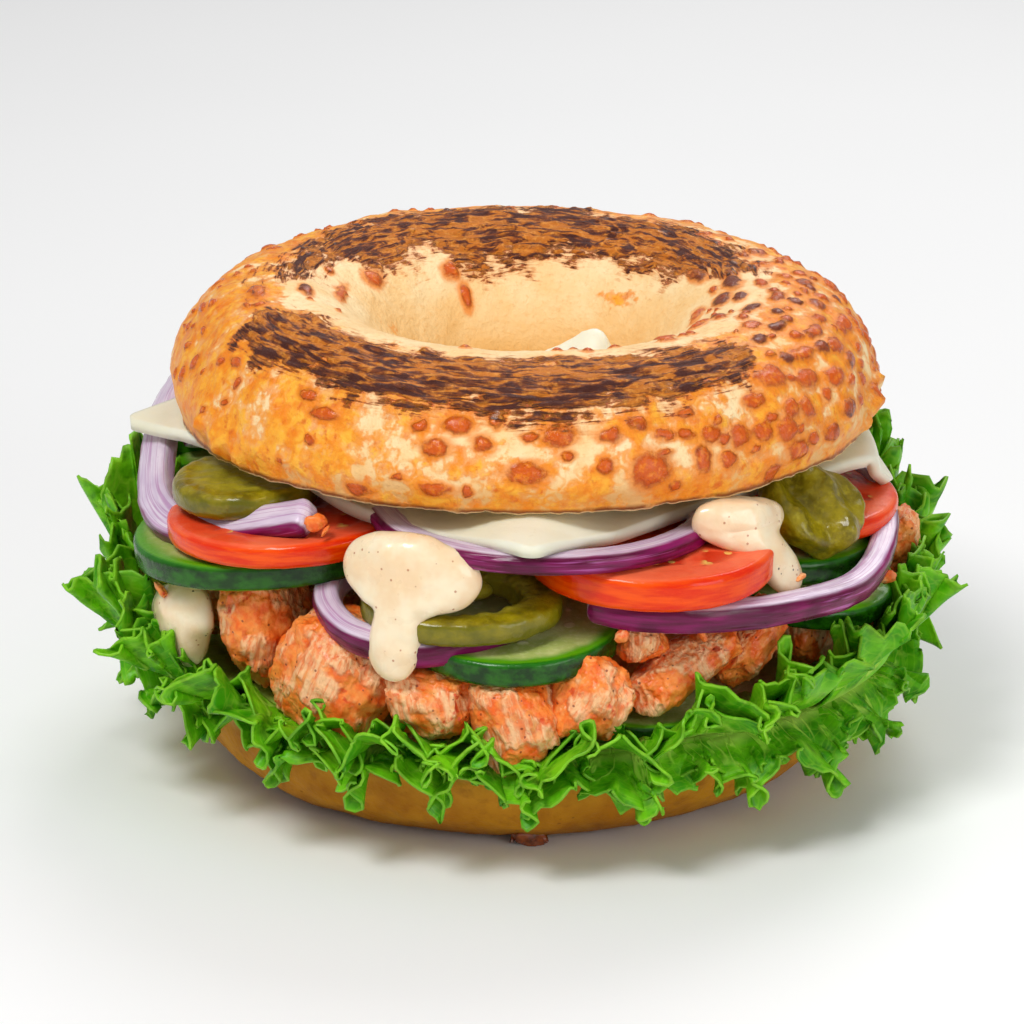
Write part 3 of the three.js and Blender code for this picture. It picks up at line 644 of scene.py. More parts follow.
# Tomato
# Slices of ripe tomato: a glossy orange-red skin, a salmon wall, and wet chambers with seeds inside it.
# They lie between the cucumber and the cheese.
TOMATOES = {
    "tomato_right": ((18.8, -42, 46.2), 19, 5.2, 3, -80, 4),
    "tomato_left": ((-35.5, -28.5, 47), 19.6, 3.9, 4, -170, 5),
    "tomato_right_low": ((41, -15, 45.6), 17, 3.4, 5, -40, 7),
    "tomato_back_left": ((-32, 24.5, 47.4), 20, 5, 4, 132, 12),
    "tomato_back_right": ((32, 20.5, 48.2), 19.4, 5, 5, 45, 13),
}
ripe = Finish("tomato_slice", Specular_IOR_Level=0.15, Coat_Weight=0.25, Coat_Roughness=0.08)
face, flat_face, rho = ripe.sliced_face()
wall = ripe.lumps(0.4, 3, at=face).mottled(0.3, 0.7, (246, 112, 70), (236, 72, 34))
chamber = (ripe.cells(0.55, "DISTANCE_TO_EDGE", at=flat_face).rise(0.06, 0.14)) * rho.rise(0.80, 0.72)
wall = (chamber * 0.8).over(wall, 206, 44, 12)
seeds = ripe.cells(0.13, at=flat_face).rise(0.3, 0.22) * chamber
wall = seeds.over(wall, 238, 190, 96)
skin = ripe.lumps(0.4, 2, at=face).mottled(0.3, 0.7, (248, 86, 0), (226, 40, 0))
skin = (ripe.lumps(0.05, 3, at=face).rise(0.5, 0.75) * 0.3).over(skin, 250, 96, 10)
side = rho.rise(0.955, 0.985)
ripe_finish = ripe.done(
    side.between(wall, skin),
    rough=side * -0.12 + 0.3,
    height=chamber * -1.0 + ripe.lumps(1.4, 3) * 0.6 + seeds * 0.8,
    depth=0.35,
)
for name, plan in TOMATOES.items():
    filling(name + "_slice", sliced(*plan, rim=1.2), ripe_finish, "tomato", name)

# Jalapeno
# Pickled jalapeno: rings with a soft, waxy olive skin, a paler wall and the ragged white rib inside,
# one thick end piece, and one ring that is crushed into folds under the crown's right edge.
RINGS = {
    "jalapeno_front": dict(
        centre=(-9.8, -50.6, 40.6), radius=15, hole=8.8, thick=4, lean=7, toward=-88, crush=0.74, seed=3
    ),
    "jalapeno_back": dict(
        centre=(-4, 46.5, 50.2), radius=11.6, hole=4.8, thick=4, lean=6, toward=92, crush=1, seed=14
    ),
}
FOLDED_RING = dict(radius=8.8, thick=5.4, rim=2.2, crush=0.86)


def pepper_ring(centre, radius, hole, thick, lean, toward, crush, seed):
    middle, half, h = (radius + hole) / 2, (radius - hole) / 2, thick / 2
    section = []
    for i in range(44):
        a = 2 * math.pi * i / 44
        across = math.copysign(abs(math.cos(a)) ** 0.55, math.cos(a))
        up = math.copysign(abs(math.sin(a)) ** 0.5, math.sin(a))
        section.append((middle + half * across, h * up))
    mesh = spun(section, 220)
    p = points(mesh)
    face = np.stack([p[:, 0] / radius, p[:, 1] / radius, p[:, 2] / h], 1)
    inside = smooth((middle - np.hypot(p[:, 0], p[:, 1])) / half)
    bumpy = 0.2 * lumpy(p, 3.5, seed, 3)
    ragged = inside * 0.5 * lumpy(p, 2.2, seed + 1, 2)
    squashed = np.stack([p[:, 0] * (1 + 0.05 * uneven(p, seed, 29)), p[:, 1] * crush, p[:, 2]], 1)
    moved_to(mesh, leaning(squashed, lean, toward, centre))
    return marked(raised(mesh, bumpy + ragged), face=face)


pickled = Finish("pickled_jalapeno", Specular_IOR_Level=0.2, Coat_Weight=0.4, Coat_Roughness=0.1)
face, _, rho = pickled.sliced_face()
wall = pickled.lumps(3.2, 3).mottled(0.3, 0.7, (150, 134, 8), (104, 92, 2))
wall = (pickled.lumps(1.2, 3).rise(0.5, 0.72) * 0.4).over(wall, 186, 172, 40)
wall = (rho.rise(0.80, 0.66) * 0.5).over(wall, 176, 166, 50)
# Painted shade: the lower face of the ring is painted darker olive, as the shade under it.
wall = (pickled.part(face, 2).rise(-0.5, -1.0) * 0.6).over(wall, 84, 76, 2)
skin = pickled.lumps(4, 3).mottled(0.3, 0.7, (96, 94, 2), (138, 126, 8))
# Painted shade: the skin is painted darker towards its lower side, as shade under the ring.
skin = (pickled.part(face, 2).rise(0.2, -0.9) * 0.5).over(skin, 70, 64, 0)
side = rho.rise(0.95, 0.985)
pickled_finish = pickled.done(
    side.between(wall, skin),
    rough=pickled.lumps(2).rise(0, 1) * 0.15 + 0.25,
    height=pickled.lumps(1.0, 4) + pickled.lumps(3, 2),
    depth=0.35,
)
for name, plan in RINGS.items():
    filling(name + "_ring", pepper_ring(**plan), pickled_finish, "jalapeno", name)
mesh = sliced((-43, -27.5, 51.3), 11.4, 4.2, 2, -150, seed=2, rim=1.5, waviness=0.35)
filling("jalapeno_left_end", mesh, pickled_finish, "jalapeno", "jalapeno_left")

# The pale rib of the front ring, which curls into its hole.
mesh = bmesh.new()
bmesh.ops.create_uvsphere(mesh, u_segments=40, v_segments=60, radius=1)
ball = points(mesh)
along = ball[:, 2:3]
curl = np.stack([3.9 * along[:, 0], 1.2 * along[:, 0] ** 2, 0.5 - 0.9 * along[:, 0] ** 2], 1)
girth = np.stack([ball[:, 0] * 0, ball[:, 0] * 1.5, ball[:, 1] * 1.5], 1)
p = curl + girth * (1 + 0.12 * lumpy(ball * 3, 1, 4, 2))[:, None]
p = rotated(p, (24, "Z")) + [-8.2, -48.6, 41.4]
marked(mesh, face=np.stack([along[:, 0] * 0.7, ball[:, 0] * 0.3, ball[:, 1]], 1))
filling("jalapeno_front_rib", moved_to(mesh, p), pickled_finish, "jalapeno")

# The ring under the crown's right edge is soft and crushed into folds.
mesh = spun(slice_section(FOLDED_RING["radius"], FOLDED_RING["thick"], FOLDED_RING["rim"]), 200)
p = points(mesh)
face = np.stack([p[:, 0] * 0 + 0.85, p[:, 1] * 0, p[:, 2] / (FOLDED_RING["thick"] / 2)], 1)
creases = np.sin((0.6 * p[:, 0] + 0.45 * p[:, 1]) + 1.4 * lumpy(p * [1, 1, 0], 8, 3, 2))
p[:, 2] += 1.3 * creases + 0.35 * lumpy(p, 4, 6)
p[:, :2] *= (1 + 0.08 * lumpy(p, 5, 8, 2))[:, None]
p[:, 1] *= FOLDED_RING["crush"]
marked(mesh, face=face)
p = leaning(p, 46, -62, (43.4, -30.8, 49))
filling("jalapeno_right_folded", moved_to(mesh, p), pickled_finish, "jalapeno", "jalapeno_right")

# Onion
# Stretches of red onion rings. The outer side of a ring is its purple skin, the inner side and the cut
# faces are lilac-white, and they are tucked in loosely among the slices.


def arc(centre, radius, start, end, rise=0):
    """A level stretch of a ring as points."""
    shares = [i / 6 for i in range(7)]
    angles = [math.radians(start + (end - start) * s) for s in shares]
    return [
        (centre[0] + radius * math.cos(a), centre[1] + radius * math.sin(a), centre[2] + rise * s)
        for a, s in zip(angles, shares)
    ]


ONIONS = {
    "onion_front": dict(through=arc((2.5, -34.3, 50.7), 25, -172, 6, -1.2), radial=4.6, tall=3.2),
    "onion_right": dict(
        through=[
            (9, -53.5, 41.2), (17, -57, 41), (28, -56, 40.6), (40, -49, 39.6), (50, -38.5, 39),
            (55, -25, 41), (55.2, -11, 44.5), (50, 2, 47.4),
        ],
        radial=4.2,
        tall=4.4,
        up=(0.2, -0.1, 1),
    ),
    "onion_left": dict(
        through=[
            (-55, 20, 54.6), (-57.4, 6, 52.6), (-58, -8, 49), (-57, -20, 45.6), (-52, -30, 45),
            (-43, -37, 48), (-32, -44.5, 52.2),
        ],
        radial=5.8,
        tall=4,
        up=(-0.6, -0.35, 0.72),
    ),
    "onion_low": dict(
        through=[
            (-20, -32, 42.6), (-28.2, -39, 40.6), (-29.8, -46, 38.8), (-26, -53.4, 36.8),
            (-17.5, -57.6, 35.8), (-9, -57, 36.4), (-2.5, -53.6, 37.6),
        ],
        radial=4.2,
        tall=4.6,
        up=(-0.25, -0.3, 0.92),
    ),
    "onion_back_right": dict(through=arc((24, 26, 52.8), 28, -18, 128, -1.4), radial=4.4, tall=3),
    "onion_back_left": dict(through=arc((-26, 27, 43), 29, 62, 196, 0.6), radial=4.4, tall=3.8),
}


def path_through(corners, count):
    """Evenly spaced points, and the directions at them, on a smooth curve through the corners."""
    c = np.array(corners, float)
    c = np.vstack([2 * c[0] - c[1], c, 2 * c[-1] - c[-2]])
    fine = []
    for a, b, d, e in zip(c, c[1:], c[2:], c[3:]):
        t = np.linspace(0, 1, 24, endpoint=False)[:, None]
        bow = (2 * a - 5 * b + 4 * d - e) * t**2 + (3 * b - a - 3 * d + e) * t**3
        fine.append(0.5 * (2 * b + (d - a) * t + bow))
    fine = np.vstack(fine + [c[-2:-1]])
    length = np.concatenate([[0], np.cumsum(np.linalg.norm(np.diff(fine, axis=0), axis=1))])
    even = np.linspace(0, length[-1], count)
    place = np.stack([np.interp(even, length, fine[:, k]) for k in range(3)], 1)
    heading = np.gradient(place, axis=0)
    return place, heading / np.linalg.norm(heading, axis=1)[:, None], length[-1]


def onion_ring(through, radial, tall, seed, up=(0, 0, 1)):
    rows = 170
    mesh = bmesh.new()
    bmesh.ops.create_uvsphere(mesh, u_segments=44, v_segments=rows, radius=1)
    ball = points(mesh)
    share = np.arccos(np.clip(ball[:, 2], -1, 1)) / math.pi
    around = np.arctan2(ball[:, 1], ball[:, 0])
    place, heading, length = path_through(through, rows + 1)
    closing = np.clip(np.minimum(share, 1 - share) / 0.025, 0, 1)
    closing = np.sqrt(1 - (1 - closing) ** 2)
    index = np.clip(share, 0, 1) * rows
    spot = np.stack([np.interp(index, np.arange(rows + 1), place[:, k]) for k in range(3)], 1)
    along = np.stack([np.interp(index, np.arange(rows + 1), heading[:, k]) for k in range(3)], 1)
    outward = np.cross(along, np.array(up) / np.linalg.norm(up))
    outward /= np.linalg.norm(outward, axis=1)[:, None]
    top = np.cross(outward, along)
    x = np.sign(np.cos(around)) * np.abs(np.cos(around)) ** 0.6
    y = np.sign(np.sin(around)) * np.abs(np.sin(around)) ** 0.55
    ply = np.stack([x * closing, y * closing, share * length], 1)
    ridge = 1 + 0.05 * lumpy(np.stack([x * 3, y * 3, share * length * 0.35 + seed], 1), 1.6, seed, 2)
    wide = x * closing * radial / 2 * ridge * 1.02
    high = y * closing * tall / 2 * np.where(x > 0.9, 0.85, 0.97) * ridge
    return marked(moved_to(mesh, spot + outward * wide[:, None] + top * high[:, None]), ply=ply)


crisp = Finish("red_onion", Specular_IOR_Level=0.2, Coat_Weight=0.25, Coat_Roughness=0.12)
ply = crisp.field("ply", "Vector")
out = crisp.part(ply, 0)
fibre = crisp.lumps(1.1, 3, at=crisp.stretched(ply, (2.2, 2.2, 0.12)))
white = fibre.mottled(0.3, 0.7, (226, 212, 226), (204, 184, 208))
rings = abs(crisp.lumps(1.0, 1, at=crisp.stretched(ply, (3.4, 0, 0.02))) - 0.5).rise(0.05, 0.0)
white = (rings * 0.55).over(white, 168, 96, 160)
skin = fibre.mottled(0.3, 0.7, (88, 2, 48), (138, 14, 92))
# Painted highlight: lilac spots of sheen painted on the purple skin.
painted_shine = crisp.lumps(0.9, 2, at=crisp.stretched(ply, (3, 3, 0.08))).rise(0.58, 0.7)
skin = (painted_shine * crisp.lumps(16, 1).rise(0.45, 0.6) * 0.6).over(skin, 196, 104, 178)
skin = (crisp.lumps(11, 2).rise(0.45, 0.6) * 0.6).over(skin, 64, 2, 34)
purple = (out + (fibre - 0.5) * 0.35).rise(0.55, 0.82)
crisp_finish = crisp.done(
    purple.between(white, skin),
    rough=fibre * 0.15 + 0.22,
    height=fibre + crisp.lumps(2.5) * 0.5,
    depth=0.3,
)
for seed, (name, plan) in enumerate(ONIONS.items()):
    filling(name + "_ring", onion_ring(seed=seed, **plan), crisp_finish, "onion", name)

# Cheese
# One square slice of mild white cheese, set corner forwards under the crown. It is soft: it sags on both
# sides of its front corner, bends down past the crown's edge, and humps up into the hole.
CHEESE_SIDE = 89
CHEESE_THICK = 1.9
CHEESE_TOP = 55.6
CHEESE_ROUND = 3
HUMPS = [(12.6, 6, 9, 6), (4, 7, 6, 7)]


def drooped(x, y, z):
    right = smooth((x - 34) / 24)
    radius = np.hypot(x, y)
    beside = smooth(np.abs(x) / 14) * smooth((x + 38) / 14) * smooth((-y - 8) / 14)
    sag = 3.5 * beside * smooth((radius - 30) / 12)
    past = np.maximum(radius - 53, 0)
    bend = np.radians(5 + 4 * smooth(-y / 50) + 48 * right) * smooth(past / 4)
    share = (radius - past * (1 - np.cos(bend))) / np.maximum(radius, 1e-6)
    lowered = sag + past * np.sin(bend) + 2.4 * right
    return np.stack([x * share, y * share - 11 * right, z - lowered], 1)


cheese = bmesh.new()
bmesh.ops.create_grid(cheese, x_segments=130, y_segments=130, size=0.5)
p = points(cheese) * CHEESE_SIDE
edge = CHEESE_SIDE / 2 - CHEESE_ROUND
over = np.maximum(np.abs(p[:, :2]) - edge, 0)
corner = (over > 0).all(1)
rounded = over * np.sqrt(1 - (over[:, ::-1] / CHEESE_ROUND) ** 2 / 2)
p[corner, :2] = (np.sign(p[:, :2]) * (edge + rounded))[corner]
p = rotated(p, (46.5, "Z")) + [-1, -1.4, 0]
x, y = p[:, 0], p[:, 1]
hump = x * 0
for hump_x, hump_y, high, wide in HUMPS:
    hump += high * np.exp(-((x - hump_x) ** 2 + (y - hump_y) ** 2) / wide**2)
hump *= 1 - smooth((np.hypot(x, y) - 13.5) / 5)
ripple = 0.12 * lumpy(p, 14, seed=4) + 0.5 * smooth(hump / 3) * lumpy(p, 4, seed=6)
moved_to(cheese, drooped(x, y, CHEESE_TOP + hump + ripple - 0.1))
bmesh.ops.recalc_face_normals(cheese, faces=cheese.faces[:])
if sum(f.normal.z for f in cheese.faces) < 0:
    bmesh.ops.reverse_faces(cheese, faces=cheese.faces[:])
thickened(cheese, CHEESE_THICK)
milky = Finish(
    "white_cheese",
    Subsurface_Weight=0.3,
    Subsurface_Radius=(1.0, 0.9, 0.6),
    Subsurface_Scale=0.003,
    Specular_IOR_Level=0.4,
)
tint = milky.lumps(14).mottled(0.3, 0.7, (240, 238, 216), (232, 228, 202))
tint = (milky.lumps(1.5, 3).rise(0.6, 0.75) * 0.3).over(tint, 222, 214, 180)
milky_finish = milky.done(
    tint,
    rough=milky.lumps(3).rise(0, 1) * 0.15 + 0.34,
    height=milky.lumps(1.8, 4) + milky.lumps(7),
    depth=0.15,
)
filling("cheese", cheese, milky_finish, "cheese", "cheese_slice")

# Crown
# The upper half of the bagel, wheat dough baked under grated cheese and then pressed on a hot plate. The
# cheese melted into golden patches and red-brown blisters, and the flat of the top is scorched in two arcs.
CROWN_RADIUS = 56
CROWN_HEIGHT = 20
CROWN_HOLE = 19.5
CROWN_CUT = 56
BLISTER_TRIES = 2200
# The edges of the two scorched arcs, in degrees round the section: 0 is the outer foot, 90 the top and 180
# the inner foot.
SCORCH_FRONT_OUTER = [
    (-160, 74), (-153, 56), (-143, 48), (-131, 53), (-125, 48), (-107, 46), (-97, 47), (-88, 47),
    (-85, 41), (-80, 46), (-70, 48), (-62, 51), (-50, 50), (-45, 56), (-38, 74),
]
SCORCH_FRONT_INNER = [
    (-160, 70), (-155, 82), (-150, 90), (-132, 84), (-116, 84), (-87, 84), (-64, 83), (-52, 82),
    (-45, 78), (-38, 62),
]
SCORCH_BACK_INNER = [
    (6, 84), (19, 112), (35, 124), (54, 127), (68, 124), (92, 131), (113, 131), (121, 118),
    (130, 122), (147, 120), (149, 115), (159, 103), (177, 99), (192, 76),
]
SCORCH_BACK_OUTER = [
    (6, 94), (19, 86), (34, 82), (60, 80), (90, 78), (120, 80), (150, 82), (177, 86), (192, 92),
]
# Blisters that are easy to make out: azimuth, degrees round the section, half-lengths round and across,
# and how dark they are.
BLISTERS = [
    (23, 117, 2.7, 1.3, 0.9), (16, 103, 2.6, 1.3, 0.9), (7, 106, 4.0, 1.6, 1.0), (2, 92, 2.6, 1.2, 0.5),
    (-4, 113, 3.0, 1.6, 0.8), (-7, 103, 1.9, 1.1, 0.9), (-18, 93, 2.6, 1.3, 1.0), (-20, 80, 1.8, 1.2, 1.0),
    (-9, 84, 2.2, 1.4, 0.6), (-7, 127, 3.6, 1.2, 0.3), (-15, 62, 2.3, 1.3, 0.4), (-22, 60, 2.8, 1.4, 0.6),
    (-31, 83, 2.5, 1.5, 0.5), (-27, 73, 2.4, 1.3, 0.9), (-36, 71, 2.0, 1.2, 0.9), (-39, 60, 1.6, 0.9, 0.5),
    (-31, 54, 3.2, 1.5, 0.4), (-9, 50, 3.2, 1.6, 0.4), (-21, 49, 2.6, 1.3, 0.5), (-19, 40, 3.0, 1.3, 0.7),
    (-43, 49, 3.4, 2.1, 0.4), (-35, 43, 3.0, 1.7, 0.4), (-28, 38, 2.6, 1.6, 0.4), (-49, 41, 2.1, 1.5, 0.3),
    (-39, 31, 2.2, 1.9, 0.4), (-45, 25, 2.1, 2.0, 0.3), (-28, 23, 2.6, 1.6, 0.7), (-54, 28, 2.1, 1.7, 0.3),
    (-34, 16, 2.1, 1.5, 0.6), (-43, 14, 2.4, 1.8, 0.4), (-62, 20, 1.7, 2.4, 0.6), (-60, 31, 1.8, 1.4, 0.2),
    (-72, 40, 1.5, 1.4, 0.5), (-77, 35, 1.9, 1.1, 0.4), (-68, 34, 1.7, 1.0, 0.2), (-71, 19, 3.0, 2.8, 0.4),
    (-67, 10, 1.3, 1.1, 0.6), (-78, 22, 1.3, 1.4, 0.3), (-85, 36, 2.6, 1.8, 0.3), (-90, 20, 3.6, 1.6, 0.2),
    (152, 125, 2.2, 1.7, 0.5), (118, 132, 1.3, 1.7, 0.4), (115, 146, 1.0, 2.4, 0.0),
    (-171, 99, 2.4, 1.3, 0.7),
    (178, 118, 4.6, 1.1, 0.1), (-170, 75, 3.2, 1.4, 0.5), (-149, 44, 2.0, 0.9, 0.5),
    (-129, 42, 1.7, 1.1, 0.3),
    (-107, 38, 1.3, 0.9, 0.4), (-101, 40, 2.3, 1.4, 0.4), (-95, 43, 1.4, 1.2, 0.5), (-97, 32, 1.8, 1.4, 0.2),
    (-104, 29, 2.2, 1.5, 0.1), (-104, 11, 2.4, 1.0, 0.2), (-110, 15, 0.9, 0.7, 0.4), (-117, 6, 2.5, 1.1, 0.5),
    (-125, 36, 3.0, 1.1, 0.2), (8, 116, 1.4, 0.8, 0.3), (-12, 118, 0.8, 0.6, 0.3), (-15, 112, 0.8, 0.6, 0.4),
]
# Rough lumps of baked cheese that stick out at the foot: azimuth, degrees round the section, and radius.
FOOT_LUMPS = [
    (-147, 9, 2.2), (-142, 6, 1.5), (-152, 13, 1.4), (-14, 13, 2.0), (-19, 8, 1.6), (-9, 20, 1.4),
    (100, 8, 2.2), (40, 9, 1.8),
]


def apart(one, other, azimuth, over):
    """The distance in millimetres over the crust between a spot and other places on it."""
    round_way = (azimuth - one + 180) % 360 - 180
    reach = 37.8 + 18.2 * np.cos(np.radians((over + other) / 2))
    return np.radians(round_way) * reach, (over - other) * 0.34


def blistered(azimuth, over, spots):
    """How deep inside a blister each point is: 1 at its middle, 0 at its edge and less outside."""
    depth = np.full_like(azimuth, -2.0)
    darkness = np.zeros_like(azimuth)
    for spot, high, half_round, half_across, dark in spots:
        a, b = apart(spot, high, azimuth, over)
        here = 1 - np.hypot(a / half_round, b / half_across)
        darkness = np.where(here > depth, dark, darkness)
        depth = np.maximum(depth, here)
    return depth, darkness


crown = spun(bagel_section(CROWN_RADIUS, CROWN_HOLE, CROWN_HEIGHT, 2.3, 1.85, 140), 500)
p = points(crown)
radius = np.hypot(p[:, 0], p[:, 1])
azimuth = np.degrees(np.arctan2(p[:, 1], p[:, 0]))
middle, half = (CROWN_RADIUS + CROWN_HOLE) / 2, (CROWN_RADIUS - CROWN_HOLE) / 2
over = np.degrees(np.arctan2(p[:, 2] / CROWN_HEIGHT, (radius - middle) / half))
up = smooth(p[:, 2] / 6)
lump = 0.5 * up * uneven(p, 3, 17)
outward = 1 + (lump + 0.4 * up * uneven(p, 5, 41)) / CROWN_RADIUS
thicker = 1 + (0.06 * p[:, 1] - 0.05 * p[:, 0]) / CROWN_RADIUS
dough = np.stack([p[:, 0] * outward, p[:, 1] * outward, CROWN_CUT + p[:, 2] * thicker + 0.6 * lump], 1)

wander = lumpy(p, 4, seed=1)
jag = 8 * lumpy(p, 4.5, seed=2) + 4 * lumpy(p, 1.8, seed=3, octaves=2)
before = np.where(azimuth > 170, azimuth - 360, azimuth)
behind = np.where(azimuth < -150, azimuth + 360, azimuth)
front = np.minimum(
    over + jag - eased(SCORCH_FRONT_OUTER, before), eased(SCORCH_FRONT_INNER, before) - over - jag
)
back = np.minimum(
    over + 1.3 * jag - eased(SCORCH_BACK_OUTER, behind),
    eased(SCORCH_BACK_INNER, behind) - over - 1.3 * jag,
)
scorch = np.maximum(front, back) / 12
front_depth = 0.22 + 0.36 * smooth((76 - over) / 24)
scorch_depth = np.where(front > back, front_depth, 0.32 + 0.24 * smooth((112 - over) / 30))

random.seed(7)
spots = list(BLISTERS)
for _ in range(BLISTER_TRIES):
    spot = random.uniform(-180, 180)
    high = random.triangular(5, 118, 40)
    right_hand = math.exp(-(((spot + 14) / 46) ** 2))
    long = random.uniform(0.7, 1.9) * (0.8 + 0.4 * right_hand)
    wide = long * random.uniform(0.55, 1.0)
    dark = random.uniform(0, 0.45) + 0.4 * right_hand * (high > 52)
    if random.random() > 0.09 + 0.75 * right_hand:
        continue
    if -158 < spot < -42 and 42 < high < 94:
        continue
    gaps = [math.hypot(*apart(s[0], s[1], spot, high)) - 0.8 * (s[2] + long) for s in spots]
    if min(gaps) > 0:
        spots.append((spot, high, long, wide, dark))
blister, blister_dark = blistered(azimuth + 0.9 * wander, over + 1.5 * lumpy(p, 2, seed=9, octaves=2), spots)
outside = smooth((100 - over) / 24)
leftward = np.exp(-((((azimuth + 178 + 180) % 360 - 180) / 66) ** 2))
rightward = np.exp(-((((azimuth + 14 + 180) % 360 - 180) / 50) ** 2))
melt_at = 0.95 * lumpy(p, 5, seed=11, octaves=4) + 0.14 - 1.7 * (1 - outside)
melt_at += 0.55 * leftward + 0.3 * rightward
melt_at -= 0.3 * np.exp(-(((over - 26) / 16) ** 2)) * (1 - leftward)
melt_at += 2.1 * np.exp(-(((azimuth - 50) / 11) ** 2) - ((over - 143) / 9) ** 2)

round_the_crust = np.stack(
    [np.cos(np.radians(azimuth)) * 45, np.sin(np.radians(azimuth)) * 45, over], 1
)
streaks = lumpy(round_the_crust * [0.5, 0.5, 1], 3, seed=5)
dome = np.sqrt(np.clip(blister * 1.5, 0, 1))
melted = smooth((melt_at + 0.1) / 0.35)
burnt = smooth(scorch / 0.3)
relief = up * (
    0.5 * dome * (1 - 0.7 * burnt)
    + 0.24 * melted * (0.6 + 0.5 * lumpy(p, 2.2, seed=13, octaves=2))
    + burnt * (0.2 + 0.45 * streaks)
    + 0.22 * lumpy(p, 4, seed=14)
)
crumbly = lumpy(p, 1.5, seed=16)
for spot, high, size in FOOT_LUMPS:
    a, b = apart(spot, high, azimuth, over)
    relief += 1.3 * np.exp(-((a / size) ** 2) - (b / size) ** 2) * (1 + 0.5 * crumbly)
rim = smooth((3.2 - p[:, 2]) / 3.2) * smooth((radius - 50) / 3)
relief += rim * (0.2 * lumpy(p, 1.4, seed=15, octaves=2) + 0.35 * lumpy(p, 7, seed=17))
moved_to(crown, dough)
raised(crown, relief)

crust = Finish("cheese_crust", Specular_IOR_Level=0.3, Coat_Roughness=0.12)
grain = crust.field("grain", "Vector")
fine = crust.lumps(0.9, 4, 0.6)
middling = crust.lumps(2.6, 3)
streak = crust.lumps(2.6, 5, 0.65, at=crust.stretched(grain, (0.42, 0.42, 1)), warp=0.6)
around = crust.field("around", "Vector")
section_turn = crust.part(around, 0)
above_cut = crust.part(around, 1)
# Pale dough, more golden low down outside and in the hole.
surface = crust.lumps(8).mottled(0.3, 0.7, (252, 224, 172), (248, 206, 142))
surface = (fine.rise(0.5, 0.75) * 0.4).over(surface, 234, 172, 98)
low = above_cut.rise(9, 0.5) * section_turn.rise(100, 60)
surface = (low * 0.75).over(surface, 226, 156, 66)
inner = section_turn.rise(140, 178)
surface = (inner * 0.7).over(surface, 240, 178, 92)
# Melted cheese: golden patches, darker along their edges, with finer rings among them.
melt = crust.field("melt") + (middling - 0.5) * 1.7 + (fine - 0.5) * 0.9
gold = crust.lumps(3, 4).mottled(0.34, 0.66, (252, 180, 54), (240, 132, 18))
gold = (crust.lumps(1.6, 3).rise(0.52, 0.72) * 0.75).over(gold, 216, 92, 10)
surface = melt.rise(-0.3, 0.5).between(surface, gold)
edge = abs(melt - 0.12).rise(0.2, 0.0)
surface = (edge * 0.4).over(surface, 240, 134, 24)
warped = crust.start.node(
    "ShaderNodeVectorMath",
    {"operation": "MULTIPLY_ADD"},
    {0: crust.lumps(2.2, 2, output="Color"), 1: (0.0014, 0.0014, 0.0014), 2: crust.place},
)
ring = abs(crust.cells(4.2, at=warped, true_size=True) - 0.34).rise(0.085, 0.02)
surface = (ring * (crust.field("melt") + 0.2).rise(-0.5, 0.3) * 0.7).over(surface, 242, 146, 30)
# Blisters: dark red-brown at the edge and brighter on the dome.
depth = crust.field("blister") + (fine - 0.5) * 0.36
surface = (depth.rise(-0.7, 0.02) * 0.8).over(surface, 236, 130, 22)
bubble = (depth + (middling - 0.5) * 0.7).rise(-0.08, 0.34)
red = (depth + (middling - 0.5) * 0.8).mottled(0.0, 0.4, (158, 54, 0), (210, 88, 2))
# Painted highlights: lighter orange spots on the blisters, standing for their gloss.
red = (crust.lumps(1.1, 3).rise(0.48, 0.7) * 0.7).over(red, 240, 138, 30)
dark = (crust.field("dark") + (middling - 0.5) * 0.8).rise(0.5, 0.85)
red = (dark * 0.85).over(red, 88, 34, 16)
surface = bubble.between(surface, red)
# The scorched arcs: brown and almost black, streaked round the bagel, with a thin red edge.
burning = crust.field("scorch") + (streak - 0.5) * 3.2 + (fine - 0.5) * 0.7 - 0.12
toasted = burning.rise(-0.75, 0.1) * 0.75
surface = toasted.over(surface, 214, 118, 34)
surface = (abs(burning + 0.04).rise(0.12, 0.0) * 0.8).over(surface, 156, 46, 14)
scorched = burning.rise(-0.06, 0.3)
smudge = crust.lumps(4.5, 4, at=crust.stretched(grain, (0.7, 0.7, 1)), warp=1.2)
tone = crust.field("depth") + (streak - 0.5) * 2.0 + (smudge - 0.5) * 4.2
burn = tone.mottled(0.1, 0.5, (206, 118, 30), (128, 62, 24))
burn = tone.rise(0.45, 0.8).over(burn, 78, 34, 24)
burn = (fine.rise(0.48, 0.68) * tone.rise(0.8, 0.1) * 0.7).over(burn, 236, 156, 62)
surface = scorched.between(surface, burn)
# A dark line at the foot, partly toasted crust and partly painted shade where the crown sits on the filling,
# and the pale cut face.
foot = above_cut.rise(1.1, 0.3) * section_turn.rise(60, 30)
surface = (foot * middling.rise(0.2, 0.5)).over(surface, 140, 74, 26)
surface = above_cut.rise(0.3, 0.02).over(surface, 240, 206, 150)
crust_finish = crust.done(
    surface,
    rough=(bubble * -0.2 + melt.rise(-0.06, 0.2) * -0.12 + scorched * 0.1) + 0.5,
    coat=bubble * 0.18,
    height=fine * 0.8 + streak * scorched * 2.4 + middling * 0.8 + depth.rise(0, 0.5) * 0.9,
    depth=0.5,
    strength=0.8,
)
marked(
    crown,
    grain=round_the_crust,
    melt=melt_at,
    blister=blister,
    dark=blister_dark,
    scorch=scorch,
    depth=scorch_depth,
    around=np.stack([over, p[:, 2], p[:, 2] * 0], 1),
)
filling("crown", crown, crust_finish, "crust", "bagel_crown")

